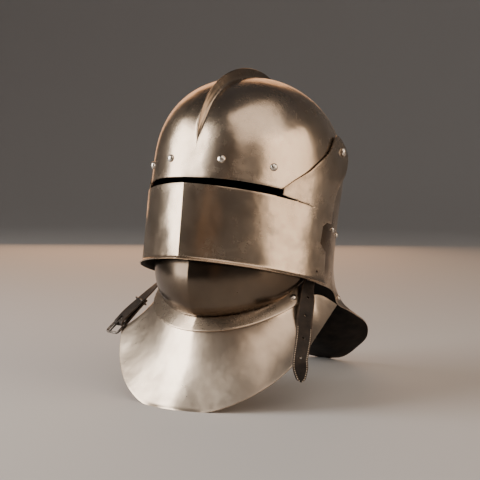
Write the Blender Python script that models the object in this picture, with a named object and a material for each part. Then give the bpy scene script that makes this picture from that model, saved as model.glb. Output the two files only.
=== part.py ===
"""Visored sallet resting on its bevor: a late Gothic steel helmet with its chin defence.

Metres, +Z up. The face looks along -Y and the wearer's left side is +X. The bib's front edge and
the tip of the tail stand on Z = 0. The skull and the visor are modelled upright in the helmet's
own frame, which an empty tilts back.
"""
import math
from collections import namedtuple

import bmesh
import bpy
import numpy as np
from mathutils import Matrix, Vector

for old in list(bpy.data.objects):
    bpy.data.objects.remove(old, do_unlink=True)

# Where the assembly sits: the origin is the middle of its footprint.
SHIFT_X = 0.0085
SHIFT_Y = -0.0438
HELMET_TILT = math.radians(13.8)
HELMET_PLACE = (0.0, -0.0042, 0.1368)

# Sheet and clearances
PLATE = 0.0016
GAP = 0.0003
LAP_GAP = 0.0006
LEATHER = 0.0024
# A place that every plate's outer face looks away from
BELOW_PLATES = (0.0, 0.05, -0.15)

# Skull, in the helmet's frame
SKULL_HALF_WIDTH = 0.107
SKULL_FRONT = 0.1285
SKULL_BACK = 0.119
WIDEST_HEIGHT = 0.1156
DOME_RISE = 0.1177
DOME_SHOULDER = 2.394
DOME_ROUND = 1.839
WALL_NARROWING = 0.004
BROW_HEIGHT = 0.087
BROW_END_DEG = 60.0
RIM_HEIGHT = -0.0045
NAPE_DROP = 0.88
TAIL_REACH = 0.55
TAIL_RISE = 0.08
# Above 1 the wall's columns bunch towards the side of the rim, so none arrives along it
RIM_CROWDING = 1.5
COMB_BASE = 0.0095
COMB_HALF_WIDTH = 0.0048
COMB_TOP_HALF_WIDTH = 0.0009

# Visor, in the helmet's frame
VISOR_RIM_HEIGHT = -0.0045
SIGHT_HEIGHT = 0.0775
SIGHT_END_DEG = 54.5
VISOR_RIM_HALF_WIDTH = 0.1107
VISOR_TOP_HALF_WIDTH = 0.1092
VISOR_RIM_FRONT = 0.119
VISOR_TOP_FRONT = 0.133
VISOR_RIM_KEEL = 0.0143
VISOR_TOP_KEEL = 0.0095
VISOR_STAND_OFF = 0.0036
FLAT_ARM_DEG = 98.0
RIM_LIP = 0.0032
PIVOT_Y = 0.0245
PIVOT_HEIGHT = 0.1545
PIVOT_SEAT_X = 0.1058
PIVOT_SEAT_RADIUS = 0.0065
PIVOT_SEAT_BLEND = 0.0085
PIVOT_HOLE_RADIUS = 0.0029
LOCK_HOLE = (-0.0135, 0.0070)
LOCK_HOLE_RADIUS = 0.0018

# Rivets: radius and height of each kind of head, and where they sit
RIVET_SEGMENTS = 12
HOLE_CLEARANCE = 0.0003
BURR_CLEARANCE = 0.0010
BURR_HEIGHT = 0.0010
DRILL_DEPTH = 0.010
DRILL_TURN = 0.1
PIVOT_SLACK = 0.0036
PIVOT_HEAD_LIFT = 0.0006
BROW_HEAD = (0.0045, 0.0030)
SMALL_HEAD = (0.0032, 0.0022)
LAME_HEAD = (0.0042, 0.0026)
PIVOT_HEAD = (0.0052, 0.0030)
BROW_RIVET_HEIGHT = 0.1085
BROW_RIVET_AZIMUTHS = (14.0, 46.0)
SIDE_RIVET_AZIMUTHS = (102.5, 115.5)
SIDE_RIVET_SHARE = 0.117
TAIL_RIVET = (128.0, 0.68)
TAIL_RIVET_SEAT = 0.0013
LAME_RIVET_DEG = 69.0
LAME_RIVET_RISE = 0.53

Comb = namedtuple("Comb", "height lift")
Rim = namedtuple("Rim", "back half_width height")
Edge = namedtuple("Edge", "azimuth radius height")
Outline = namedtuple("Outline", "azimuth height")
Step = namedtuple("Step", "azimuth radius height half_width lean face")

# Comb: how far it stands out of the dome, by the height of its root (helmet's frame)
COMB_FRONT = (
    Comb(0.1300, 0.0),
    Comb(0.1430, 0.0035),
    Comb(0.1640, 0.0070),
    Comb(0.2100, 0.0105),
    Comb(0.2333, 0.0120),
)
COMB_REAR = (
    Comb(-0.0760, 0.0010),
    Comb(0.0200, 0.0025),
    Comb(0.0870, 0.0050),
    Comb(0.1640, 0.0090),
    Comb(0.2333, 0.0120),
)

# Lower edge of the skull behind the face, from under the visor's corner to the tip of the tail
TAIL_RIM = (
    Rim(0.005, 0.1040, -0.0050),
    Rim(0.055, 0.1000, -0.0060),
    Rim(0.100, 0.0905, -0.0185),
    Rim(0.145, 0.0885, -0.0210),
    Rim(0.185, 0.0890, -0.0280),
    Rim(0.215, 0.0810, -0.0410),
    Rim(0.240, 0.0570, -0.0575),
    Rim(0.256, 0.0290, -0.0720),
    Rim(0.264, 0.0000, -0.0745),
)

# Visor's side plate: its upper edge, from the end of the sight over the arm
SIDE_PLATE_TOP = (
    Outline(54.5, 0.0880),
    Outline(61.0, 0.1005),
    Outline(68.0, 0.1125),
    Outline(75.5, 0.1280),
    Outline(84.0, 0.1450),
    Outline(91.5, 0.1640),
    Outline(98.0, 0.1725),
    Outline(104.0, 0.1700),
)
# Visor's rear edge, from the lower corner up to the arm
VISOR_REAR = (
    Outline(93.0, -0.0045),
    Outline(91.5, 0.0220),
    Outline(91.5, 0.0450),
    Outline(95.0, 0.0650),
    Outline(95.0, 0.0775),
)
ARM_REAR = (
    Outline(95.0, 0.0775),
    Outline(96.0, 0.0940),
    Outline(99.5, 0.1120),
    Outline(106.5, 0.1330),
    Outline(109.5, 0.1530),
    Outline(104.0, 0.1700),
)
# Catch notch in the rear edge and the slit behind the sight
Corner = namedtuple("Corner", "back height")
CATCH_NOTCH = (
    Corner(0.0300, 0.0670),
    Corner(-0.0015, 0.0650),
    Corner(-0.0110, 0.0590),
    Corner(-0.0130, 0.0390),
    Corner(-0.0007, 0.0320),
    Corner(0.0300, 0.0310),
)
SIGHT_SLIT = (
    Corner(-0.0840, 0.0815),
    Corner(-0.0840, 0.0772),
    Corner(-0.0320, 0.0765),
    Corner(-0.0320, 0.0769),
)

# Edges of the bevor's plates, without their keels
BOWL_TOP = (
    Edge(0, 0.100, 0.180),
    Edge(30, 0.098, 0.181),
    Edge(60, 0.095, 0.184),
    Edge(100, 0.0925, 0.187),
)
BOWL_EDGE = (
    Edge(0, 0.0880, 0.0963),
    Edge(30, 0.0893, 0.1013),
    Edge(60, 0.0923, 0.1160),
    Edge(85, 0.0930, 0.1370),
    Edge(100, 0.0922, 0.1480),
)
LAME_EDGE = (
    Edge(0, 0.1025, 0.0810),
    Edge(30, 0.1025, 0.0867),
    Edge(60, 0.1018, 0.1035),
    Edge(78, 0.1012, 0.1165),
)
BIB_TOP = (
    Edge(0, 0.1025, 0.0810),
    Edge(30, 0.1025, 0.0867),
    Edge(60, 0.1018, 0.1035),
    Edge(75, 0.1015, 0.1145),
    Edge(90, 0.1040, 0.1180),
    Edge(108, 0.1170, 0.1030),
)
BIB_EDGE = (
    Edge(0, 0.1455, -0.0004),
    Edge(15, 0.1450, -0.0002),
    Edge(30, 0.1440, 0.0125),
    Edge(45, 0.1425, 0.0325),
    Edge(63, 0.1405, 0.0680),
)
BOWL_KEEL = 0.0098
BIB_KEEL = 0.0035
BOWL_END_DEG = 100.0
LAME_END_DEG = 77.0
BOWL_BULGE = 0.013
PLATE_OVERLAP = 0.007
LAME_SEAT_INSET = 0.0003
LAME_SEAT_RISE = 0.0012
BIB_OVERLAP = 0.0045
LAP_INSET_TOP = 0.0066
LAP_INSET_SEAM = 0.0030
EAR_SPREAD_DEG = 7.0
EAR_INSET = 0.0075
EAR_RISE = 0.0090

# Straps: the middle line of the leather from its root on the bowl, its half width, how far its
# outer face leans up and the bearing that this face looks along
STRAP_HALF_WIDTH = 0.0085
STRAP_HOLE_RADIUS = 0.0016
TONGUE_ROUTE = (
    Step(92, 0.0962, 0.1500, 0.0085, 0, 92),
    Step(88, 0.0968, 0.1390, 0.0088, 2, 86),
    Step(82, 0.0990, 0.1275, 0.0092, 12, 70),
    Step(75.5, 0.1070, 0.1155, 0.0094, 24, 58),
    Step(68.5, 0.1170, 0.0980, 0.0094, 26, 50),
    Step(61.5, 0.1345, 0.0765, 0.0090, 28, 45),
    Step(57, 0.1465, 0.0590, 0.0086, 18, 42),
    Step(56.8, 0.1480, 0.0460, 0.0084, 4, 41),
    Step(57, 0.1484, 0.0375, 0.0060, 2, 41),
    Step(57, 0.1486, 0.0325, 0.0008, 2, 41),
)
TONGUE_HOLES = (0.313, 0.407, 0.521, 0.645)
BUCKLE_ROUTE = (
    Step(92, 0.0962, 0.1500, 0.0085, 0, 92),
    Step(88, 0.0968, 0.1390, 0.0085, 2, 84),
    Step(84, 0.0998, 0.1285, 0.0085, 14, 66),
    Step(79.5, 0.1103, 0.1145, 0.0085, 22, 44),
    Step(74.7, 0.1242, 0.0993, 0.0085, 26, 30),
    Step(69, 0.1394, 0.0829, 0.0085, 26, 20),
    Step(66.4, 0.1454, 0.0756, 0.0085, 24, 20),
)
BAR_RADIUS = 0.0015
BUCKLE_HALF_WIDTH = 0.0114
BUCKLE_LENGTH = 0.0165
BUCKLE_CORNER = 0.0035
PRONG_RADIUS = 0.0012
PRONG_PAST_FRAME = 0.0025
PRONG_SLOT_HALF_WIDTH = 0.0024
PRONG_SLOT_REACH = (-0.0070, 0.0060)
FOLD_BACK_SHARE = 0.30
KEEPER_SHARE = 0.74
KEEPER_RADIUS = 0.0010
KEEPER_CORNER = 0.0022
KEEPER_HALF_HEIGHT = 0.0040
KEEPER_SINK = 0.0015


def smooth(value):
    """Ease from 0 to 1."""
    value = min(max(value, 0.0), 1.0)
    return value * value * (3 - 2 * value)


def mix(start, end, share):
    """Straight blend of two values."""
    return start + (end - start) * share


def along(rows, key, column, value, flat_start=False):
    """Read a column of a table at a value of its key, on a smooth curve through the rows."""
    keys = [getattr(row, key) for row in rows]
    data = [getattr(row, column) for row in rows]
    slopes = list(np.gradient(data, keys))
    if flat_start:
        slopes[0] = 0.0
    value = min(max(value, keys[0]), keys[-1])
    index = min(int(np.searchsorted(keys, value, side="right")) - 1, len(keys) - 2)
    span = keys[index + 1] - keys[index]
    t = (value - keys[index]) / span
    start, end = data[index], data[index + 1]
    rise_start, rise_end = slopes[index] * span, slopes[index + 1] * span
    return (
        (2 * t**3 - 3 * t**2 + 1) * start
        + (t**3 - 2 * t**2 + t) * rise_start
        + (3 * t**2 - 2 * t**3) * end
        + (t**3 - t**2) * rise_end
    )


def on_curve(rows, share):
    """Point at a share of the length of the smooth curve through a table's rows."""
    points = np.array([list(row) for row in rows], dtype=float)
    steps = np.linalg.norm(np.diff(points / np.ptp(points, axis=0).clip(1e-9), axis=0), axis=1)
    keys = np.concatenate([[0.0], np.cumsum(steps)]) / steps.sum()
    slopes = np.gradient(points, keys, axis=0)
    index = min(int(np.searchsorted(keys, share, side="right")) - 1, len(keys) - 2)
    span = keys[index + 1] - keys[index]
    t = (share - keys[index]) / span
    return (
        (2 * t**3 - 3 * t**2 + 1) * points[index]
        + (t**3 - 2 * t**2 + t) * slopes[index] * span
        + (3 * t**2 - 2 * t**3) * points[index + 1]
        + (t**3 - t**2) * slopes[index + 1] * span
    )


def surface_normal(point_at, u, v, step_u, step_v):
    """Outward normal of a surface from small steps along it."""
    run_u = point_at(u + step_u, v) - point_at(u - step_u, v)
    run_v = point_at(u, v + step_v) - point_at(u, v - step_v)
    normal = run_u.cross(run_v).normalized()
    return normal if normal.dot(point_at(u, v) - Vector(BELOW_PLATES)) > 0 else -normal


# ---------------------------------------------------------------- materials and meshes


def steel(name, colour, roughness):
    """Polished plate."""
    return metal_or_leather(name, colour, roughness, 1.0)


def metal_or_leather(name, colour, roughness, metallic):
    """A Principled material."""
    material = bpy.data.materials.new(name)
    material.use_nodes = True
    shader = material.node_tree.nodes["Principled BSDF"]
    shader.inputs["Base Color"].default_value = (*colour, 1.0)
    shader.inputs["Roughness"].default_value = roughness
    shader.inputs["Metallic"].default_value = metallic
    return material


PLATE_STEEL = (0.60, 0.54, 0.48)


def add_object(name, mesh, material, parent=None, crease_deg=32.0):
    """Link a mesh as an object of its own, smooth shaded up to a crease angle."""
    obj = bpy.data.objects.new(name, mesh)
    bpy.context.collection.objects.link(obj)
    if material:
        mesh.materials.append(material)
    mesh.shade_smooth()
    mesh.set_sharp_from_angle(angle=math.radians(crease_deg))
    obj.parent = parent
    return obj


def empty(name, place, tilt=0.0, parent=None):
    """A guide that holds a frame or a hinge axis."""
    guide = bpy.data.objects.new(name, None)
    guide.location = place
    guide.rotation_euler = (tilt, 0.0, 0.0)
    guide.parent = parent
    bpy.context.collection.objects.link(guide)
    return guide


def grid_faces(rows, columns):
    """Quads of a grid of points that are stored row by row."""
    faces = []
    for row in range(rows - 1):
        for column in range(columns - 1):
            corner = row * columns + column
            faces.append((corner, corner + 1, corner + columns + 1, corner + columns))
    return faces


def plate_from_patches(name, patches, inside, thickness=PLATE, floor=None):
    """Weld grids of outer points into one sheet and give it thickness towards the inside.

    A patch is (rows of points, rows of lifts): a lift raises the outer face alone, as on a comb.
    """
    sheet = bmesh.new()
    lift_layer = sheet.verts.layers.float_vector.new("lift")
    for points, lifts in patches:
        rows, columns = len(points), len(points[0])
        verts = []
        for row in range(rows):
            for column in range(columns):
                vert = sheet.verts.new(points[row][column])
                vert[lift_layer] = Vector(lifts[row][column]) if lifts else Vector()
                verts.append(vert)
        for face in grid_faces(rows, columns):
            sheet.faces.new([verts[index] for index in face])
    bmesh.ops.remove_doubles(sheet, verts=sheet.verts, dist=0.00004)
    bmesh.ops.recalc_face_normals(sheet, faces=sheet.faces)
    sheet.normal_update()
    outward = sum(face.normal.dot(face.calc_center_median() - Vector(inside)) for face in sheet.faces)
    if outward < 0:
        bmesh.ops.reverse_faces(sheet, faces=sheet.faces)
        sheet.normal_update()
    sheet.verts.index_update()
    count = len(sheet.verts)
    outer = [vert.co + vert[lift_layer] for vert in sheet.verts]
    inner = [vert.co - vert.normal * thickness for vert in sheet.verts]
    corners = outer + inner
    if floor is not None:
        corners = [Vector((co.x, co.y, max(co.z, floor))) for co in corners]
    faces = [[vert.index for vert in face.verts] for face in sheet.faces]
    faces += [[index + count for index in reversed(face)] for face in faces]
    for edge in sheet.edges:
        if edge.is_boundary:
            loop = edge.link_loops[0]
            start, end = loop.vert.index, loop.link_loop_next.vert.index
            faces.append([end, start, start + count, end + count])
    sheet.free()
    mesh = bpy.data.meshes.new(name)
    mesh.from_pydata([tuple(co) for co in corners], [], faces)
    mesh.validate()
    return mesh


def prism(name, outline, x_from, x_to, parent):
    """Cutter: an outline of (y, z) corners run along X."""
    count = len(outline)
    corners = [(x, y, z) for x in (x_from, x_to) for y, z in outline]
    faces = [list(range(count)), list(range(2 * count - 1, count - 1, -1))]
    for index in range(count):
        following = (index + 1) % count
        faces.append([index, index + count, following + count, following])
    return cutter(name, corners, faces, parent)


def drill(name, place, direction, radius, depth, parent):
    """Cutter: a drill through a plate, at right angles to it."""
    turn = Vector(direction).to_track_quat("Z", "Y").to_matrix()
    count = RIVET_SEGMENTS
    corners = []
    for end in (-depth, depth):
        for index in range(count):
            angle = 2 * math.pi * (index + DRILL_TURN) / count
            local = Vector((radius * math.cos(angle), radius * math.sin(angle), end))
            corners.append(Vector(place) + turn @ local)
    faces = [list(range(count - 1, -1, -1)), list(range(count, 2 * count))]
    for index in range(count):
        following = (index + 1) % count
        faces.append([index, following, following + count, index + count])
    return cutter(name, corners, faces, parent)


def cutter(name, corners, faces, parent):
    """A closed shape that only cuts."""
    mesh = bpy.data.meshes.new(name)
    mesh.from_pydata([tuple(corner) for corner in corners], [], faces)
    form = bmesh.new()
    form.from_mesh(mesh)
    bmesh.ops.recalc_face_normals(form, faces=form.faces)
    form.to_mesh(mesh)
    form.free()
    obj = add_object(name, mesh, None, parent)
    obj.hide_render = True
    obj.display_type = "WIRE"
    return obj


def cut(target, tool):
    """Take a cutter's shape out of a piece."""
    modifier = target.modifiers.new("cut_" + tool.name, "BOOLEAN")
    modifier.operation = "DIFFERENCE"
    modifier.solver = "EXACT"
    modifier.object = tool


def rivet(name, place, direction, head, material, parent, plates, grip=PLATE):
    """Domed rivet: head outside, shank through the plate, upset end inside."""
    head_radius, head_height = head
    shank = head_radius * 0.42
    burr = head_radius * 0.62
    under = GAP
    inside = -(grip + BURR_CLEARANCE)
    profile = [
        (0.0, under + head_height),
        (head_radius * 0.45, under + head_height * 0.90),
        (head_radius * 0.80, under + head_height * 0.55),
        (head_radius * 0.98, under + head_height * 0.12),
        (head_radius * 0.94, under),
        (shank, under),
        (shank, inside),
        (burr, inside),
        (burr * 0.8, inside - BURR_HEIGHT * 0.7),
        (0.0, inside - BURR_HEIGHT),
    ]
    form = bmesh.new()
    rings = []
    for radius, height in profile:
        if radius == 0.0:
            rings.append([form.verts.new((0.0, 0.0, height))])
            continue
        ring = []
        for index in range(RIVET_SEGMENTS):
            angle = 2 * math.pi * index / RIVET_SEGMENTS
            ring.append(form.verts.new((radius * math.cos(angle), radius * math.sin(angle), height)))
        rings.append(ring)
    for upper, lower in zip(rings, rings[1:]):
        for index in range(RIVET_SEGMENTS):
            following = (index + 1) % RIVET_SEGMENTS
            if len(upper) == 1:
                form.faces.new((upper[0], lower[index], lower[following]))
            elif len(lower) == 1:
                form.faces.new((upper[index], lower[0], upper[following]))
            else:
                form.faces.new((upper[index], lower[index], lower[following], upper[following]))
    bmesh.ops.recalc_face_normals(form, faces=form.faces)
    mesh = bpy.data.meshes.new(name)
    form.to_mesh(mesh)
    form.free()
    obj = add_object(name, mesh, material, parent, crease_deg=50.0)
    obj.location = place
    obj.rotation_euler = Vector(direction).to_track_quat("Z", "Y").to_euler()
    for number, plate in enumerate(plates):
        tool = drill(f"{name}_hole_{number}", place, direction, shank + HOLE_CLEARANCE, DRILL_DEPTH, parent)
        cut(plate, tool)
    return obj


# ---------------------------------------------------------------- skull


def dome_share(height):
    """How much of its full plan the dome keeps at a height."""
    rise = (height - WIDEST_HEIGHT) / DOME_RISE
    if rise <= 0:
        return 1.0
    return max(1 - min(rise, 1.0) ** DOME_SHOULDER, 0.0) ** (1 / DOME_ROUND)


def skull_half_width(height):
    """Half width of the skull at a height; the walls draw in a little below the widest place."""
    if height >= WIDEST_HEIGHT:
        return SKULL_HALF_WIDTH * dome_share(height)
    return SKULL_HALF_WIDTH - WALL_NARROWING * (WIDEST_HEIGHT - height) / WIDEST_HEIGHT


def skull_point(azimuth, height, side):
    """Point of the skull's outer face; the middle strip of the comb keeps its own width."""
    angle = math.radians(azimuth)
    share = dome_share(height)
    wide = skull_half_width(height) - COMB_BASE * share
    reach = SKULL_FRONT if azimuth < 90 else SKULL_BACK
    return Vector(
        (side * (COMB_BASE + wide * math.sin(angle)), -reach * share * math.cos(angle), height)
    )


def dome_heights():
    """Rings of the dome, from the crown down to the brow."""
    heights = []
    for turn in range(90, 0, -10):
        heights.append(WIDEST_HEIGHT + DOME_RISE * math.sin(math.radians(turn)) ** (2 / DOME_SHOULDER))
    return heights + [COMB_FRONT[0].height, WIDEST_HEIGHT, WIDEST_HEIGHT - 0.014, BROW_HEIGHT]


def lower_edge(azimuth):
    """Lower edge of the skull below the brow line, for an azimuth from the brow's end to the back."""
    if azimuth <= 90:
        drop = smooth((azimuth - BROW_END_DEG) / 22)
        height = mix(BROW_HEIGHT, RIM_HEIGHT, drop)
        point = skull_point(azimuth, height, 1)
        return Vector((point.x, point.y, height))
    back, half_width, height = on_curve(TAIL_RIM, ((azimuth - 90) / 90) ** RIM_CROWDING)
    return Vector((max(half_width, 0.0), back, height))


def wall_point(azimuth, share, side):
    """Point of the skull's lower wall, which runs from the brow line to the rim and the tail."""
    top = skull_point(azimuth, BROW_HEIGHT, 1)
    rim = lower_edge(azimuth)
    rim.x = max(rim.x, COMB_BASE) if azimuth >= 179.9 else rim.x
    drop = top - rim
    leave = top - Vector((0.0, 0.0, NAPE_DROP * drop.z))
    arrive = rim + Vector((TAIL_REACH * drop.x, TAIL_REACH * drop.y, TAIL_RISE * drop.z))
    point = (
        (1 - share) ** 3 * top
        + 3 * (1 - share) ** 2 * share * leave
        + 3 * (1 - share) * share**2 * arrive
        + share**3 * rim
    )
    return Vector((side * point.x, point.y, point.z))


def comb_strip(spine, normals, lifts):
    """Middle strip of the skull: a raised fin between two flat margins."""
    points, raised = [], []
    for (y, z), normal, lift in zip(spine, normals, lifts):
        narrow = min(1.0, 0.25 + lift / 0.007)
        row = (
            (-COMB_BASE, 0.0),
            (-COMB_HALF_WIDTH * narrow, 0.03),
            (-COMB_HALF_WIDTH * 0.45 * narrow, 0.45),
            (-COMB_TOP_HALF_WIDTH * narrow, 0.96),
            (0.0, 1.0),
            (COMB_TOP_HALF_WIDTH * narrow, 0.96),
            (COMB_HALF_WIDTH * 0.45 * narrow, 0.45),
            (COMB_HALF_WIDTH * narrow, 0.03),
            (COMB_BASE, 0.0),
        )
        points.append([(x, y, z) for x, _ in row])
        raised.append([normal * (lift * share) for _, share in row])
    return points, raised


def spine_normals(spine):
    """Outward normals of a middle line in the plane x = 0."""
    line = np.array(spine)
    run = np.gradient(line, axis=0)
    normals = []
    for dy, dz in run:
        length = math.hypot(dy, dz)
        normals.append(Vector((0.0, -dz / length, dy / length)))
    return normals


def build_skull(parent):
    """One raised sheet: dome, comb, brow, sides and tail."""
    heights = dome_heights()
    azimuths = list(range(0, 181, 10))
    wall_azimuths = [azimuth for azimuth in azimuths if azimuth >= BROW_END_DEG]
    shares = [0.0, 0.15, 0.3, 0.45, 0.6, 0.75, 0.88, 1.0]
    patches = []
    for side in (-1, 1):
        patches.append(([[skull_point(a, z, side) for a in azimuths] for z in heights], None))
        patches.append(([[wall_point(a, share, side) for a in wall_azimuths] for share in shares], None))
    front = [skull_point(0, z, 1) for z in heights]
    back = [skull_point(180, z, 1) for z in heights]
    tail = [wall_point(180, share, 1) for share in shares[1:]]
    spine = [(p.y, p.z) for p in reversed(front)] + [(p.y, p.z) for p in back[1:] + tail]
    crown = len(front) - 1
    lifts = []
    for index, (_, z) in enumerate(spine):
        lifts.append(along(COMB_FRONT if index <= crown else COMB_REAR, "height", "lift", z))
    patches.append(comb_strip(spine, spine_normals(spine), lifts))
    mesh = plate_from_patches("skull", patches, inside=(0.0, 0.0, 0.10))
    return add_object("skull", mesh, steel("skull_steel", PLATE_STEEL, 0.17), parent)


# ---------------------------------------------------------------- visor


def visor_point(azimuth, height):
    """Point of the visor's outer face: a keeled plate below the sight, then side plates and arms."""
    angle = math.radians(azimuth)
    sine, cosine = math.sin(angle), math.cos(angle)
    rise = (height - VISOR_RIM_HEIGHT) / (SIGHT_HEIGHT - VISOR_RIM_HEIGHT)
    rise = min(max(rise, 0.0), 1.0)
    half_width = mix(VISOR_RIM_HALF_WIDTH, VISOR_TOP_HALF_WIDTH, rise)
    front = mix(VISOR_RIM_FRONT, VISOR_TOP_FRONT, rise)
    keel = mix(VISOR_RIM_KEEL, VISOR_TOP_KEEL, rise) * (1 - abs(sine)) ** 2
    y = -(front * cosine + keel) if cosine >= 0 else -(SKULL_BACK + VISOR_STAND_OFF) * cosine
    plate = Vector((half_width * sine, y, height))
    lean = min(max((height - SIGHT_HEIGHT) / (WIDEST_HEIGHT - SIGHT_HEIGHT), 0.0), 1.0)
    if lean == 0.0:
        return plate
    place = plate.lerp(arm_point(azimuth, height), lean)
    reach = math.hypot(place.y - PIVOT_Y, height - PIVOT_HEIGHT)
    place.x = mix(place.x, PIVOT_SEAT_X, 1 - smooth((reach - PIVOT_SEAT_RADIUS) / PIVOT_SEAT_BLEND))
    return place


def arm_point(azimuth, height):
    """Point of an arm: a little outside the skull, and flat behind the pivot so that it can turn."""
    skin = skull_point(azimuth, height, 1)
    flat = min(azimuth, FLAT_ARM_DEG)
    skin.x = skull_point(flat, height, 1).x
    normal = surface_normal(lambda a, h: skull_point(a, h, 1), flat, height, 1.0, 0.001)
    out = Vector((normal.x, normal.y, 0.0)).normalized()
    return skin + out * (VISOR_STAND_OFF / max(normal.dot(out), 0.5))


def coons(bottom, top, left, right, u, v):
    """Point of the patch spanned by four edges."""
    corners = (
        mix(bottom(0.0), bottom(1.0), u) * (1 - v)
        + mix(top(0.0), top(1.0), u) * v
    )
    return mix(bottom(u), top(u), v) + mix(left(v), right(v), u) - corners


def build_visor(parent):
    """Face plate, side plates and arms in one sheet, with a turned lower rim."""
    lower_heights = [0.0, 0.012, 0.025, 0.038, 0.051, 0.064, SIGHT_HEIGHT]
    lip = ((VISOR_RIM_HEIGHT, RIM_LIP), (VISOR_RIM_HEIGHT + 0.0012, RIM_LIP * 0.55))
    face_azimuths = [SIGHT_END_DEG * step / 9 for step in range(-9, 10)]

    def rear_azimuth(height):
        return along(VISOR_REAR, "height", "azimuth", height)

    def row(height, lip_out=0.0):
        rear = rear_azimuth(height)
        sides = [mix(SIGHT_END_DEG, rear, step / 9) for step in range(1, 10)]
        azimuths = [-a for a in reversed(sides)] + face_azimuths + sides
        points = []
        for azimuth in azimuths:
            point = visor_point(azimuth, height)
            out = Vector((point.x, point.y, 0.0)).normalized()
            points.append(point + out * lip_out)
        return points

    lower = [row(height, out) for height, out in lip]
    lower += [row(VISOR_RIM_HEIGHT + 0.0028, RIM_LIP * 0.1)]
    lower += [row(height) for height in lower_heights[1:]]
    patches = [(lower, None)]
    bottom = lambda u: np.array([mix(SIGHT_END_DEG, rear_azimuth(SIGHT_HEIGHT), u), SIGHT_HEIGHT])
    top = lambda u: on_curve(SIDE_PLATE_TOP, u)
    left = lambda v: np.array([SIGHT_END_DEG, mix(SIGHT_HEIGHT, SIDE_PLATE_TOP[0].height, v)])
    right = lambda v: on_curve(ARM_REAR, v)
    for side in (-1, 1):
        rows = []
        for v in (0.0, 0.13, 0.27, 0.42, 0.57, 0.72, 0.86, 1.0):
            line = []
            for step in range(10):
                azimuth, height = coons(bottom, top, left, right, step / 9, v)
                point = visor_point(azimuth, height)
                line.append(Vector((side * point.x, point.y, point.z)))
            rows.append(line)
        patches.append((rows, None))
    mesh = plate_from_patches("visor", patches, inside=(0.0, 0.0, 0.04))
    mesh.transform(Matrix.Translation((0.0, -PIVOT_Y, -PIVOT_HEIGHT)))
    return add_object("visor", mesh, steel("visor_steel", PLATE_STEEL, 0.16), parent)


# ---------------------------------------------------------------- bevor


def edge_point(rows, azimuth, keel, inset=0.0, rise=0.0):
    """Point on an edge of a bevor plate; the keel stands out at the front."""
    bearing = abs(azimuth)
    radius = along(rows, "azimuth", "radius", bearing, flat_start=True) - inset
    radius += keel * (1 - abs(math.sin(math.radians(min(bearing, 90.0))))) ** 2
    height = along(rows, "azimuth", "height", bearing, flat_start=True) + rise
    angle = math.radians(azimuth)
    return Vector((radius * math.sin(angle), -radius * math.cos(angle), height))


def build_bowl():
    """Chin bowl: keeled, full at the front, its lower edge over the throat lame."""
    azimuths = [BOWL_END_DEG * step / 13 for step in range(-13, 14)]
    rows = []
    for share in (0.0, 0.12, 0.26, 0.4, 0.54, 0.68, 0.82, 0.92, 1.0):
        line = []
        for azimuth in azimuths:
            top = edge_point(BOWL_TOP, azimuth, BOWL_KEEL * 0.8)
            edge = edge_point(BOWL_EDGE, azimuth, BOWL_KEEL)
            point = top.lerp(edge, share)
            swell = BOWL_BULGE * math.cos(math.radians(azimuth * 0.85)) ** 2
            swell *= max(math.sin(math.pi * share**1.3), 0.0) ** 0.75
            out = Vector((point.x, point.y, 0.0)).normalized()
            line.append(point + out * swell)
        rows.append(line)
    mesh = plate_from_patches("bevor_bowl", [(rows, None)], inside=(0.0, 0.0, 0.14))
    return add_object("bevor_bowl", mesh, steel("bowl_steel", PLATE_STEEL, 0.15))


def lame_point(azimuth, rise):
    """Point of the lame's outer face between its lower edge (0) and the bowl's edge (1)."""
    inset = PLATE + LAP_GAP + LAME_SEAT_INSET
    seat = edge_point(BOWL_EDGE, azimuth, BOWL_KEEL, inset, LAME_SEAT_RISE)
    return edge_point(LAME_EDGE, azimuth, BIB_KEEL).lerp(seat, rise)


def build_lame():
    """Throat lame: a narrow band that laps under the bowl and over the bib."""
    azimuths = [LAME_END_DEG * step / 13 for step in range(-13, 14)]
    rows = []
    for azimuth in azimuths:
        inset = PLATE + LAP_GAP + 2 * LAME_SEAT_INSET
        under = edge_point(BOWL_EDGE, azimuth, BOWL_KEEL, inset, PLATE_OVERLAP)
        rows.append([under] + [lame_point(azimuth, rise) for rise in (1.0, 0.5, 0.0)])
    mesh = plate_from_patches("throat_lame", [(rows, None)], inside=(0.0, 0.0, 0.14))
    return add_object("throat_lame", mesh, steel("lame_steel", PLATE_STEEL, 0.17))


def bib_corner():
    """Upper rear corner of the bib's wing."""
    return edge_point(BIB_TOP, BIB_TOP[-1].azimuth, 0.0)


def bib_column(share):
    """Top and bottom of one column of the bib, from the keel (0) to the wing's corner (1)."""
    sign = -1 if share < 0 else 1
    reach = abs(share)
    top_end = BIB_TOP[-1].azimuth
    bottom_end = BIB_EDGE[-1].azimuth
    split = 0.6
    top_azimuth = top_end * reach
    lapped = 1 - smooth((top_azimuth - LAME_END_DEG) / 9)
    ear = math.exp(-(((top_azimuth - LAME_RIVET_DEG) / EAR_SPREAD_DEG) ** 2))
    inset = LAP_INSET_TOP * lapped + EAR_INSET * ear
    top = edge_point(BIB_TOP, top_azimuth, BIB_KEEL, inset, BIB_OVERLAP * lapped + EAR_RISE * ear)
    seam = edge_point(BIB_TOP, top_azimuth, BIB_KEEL, LAP_INSET_SEAM * lapped)
    if reach <= split:
        bottom = edge_point(BIB_EDGE, bottom_end * reach / split, BIB_KEEL * 0.5)
    else:
        low = edge_point(BIB_EDGE, bottom_end, 0.0)
        bottom = low.lerp(bib_corner(), ((reach - split) / (1 - split)) ** 0.9)
    return [Vector((sign * p.x, p.y, p.z)) for p in (top, seam, bottom)]


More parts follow.
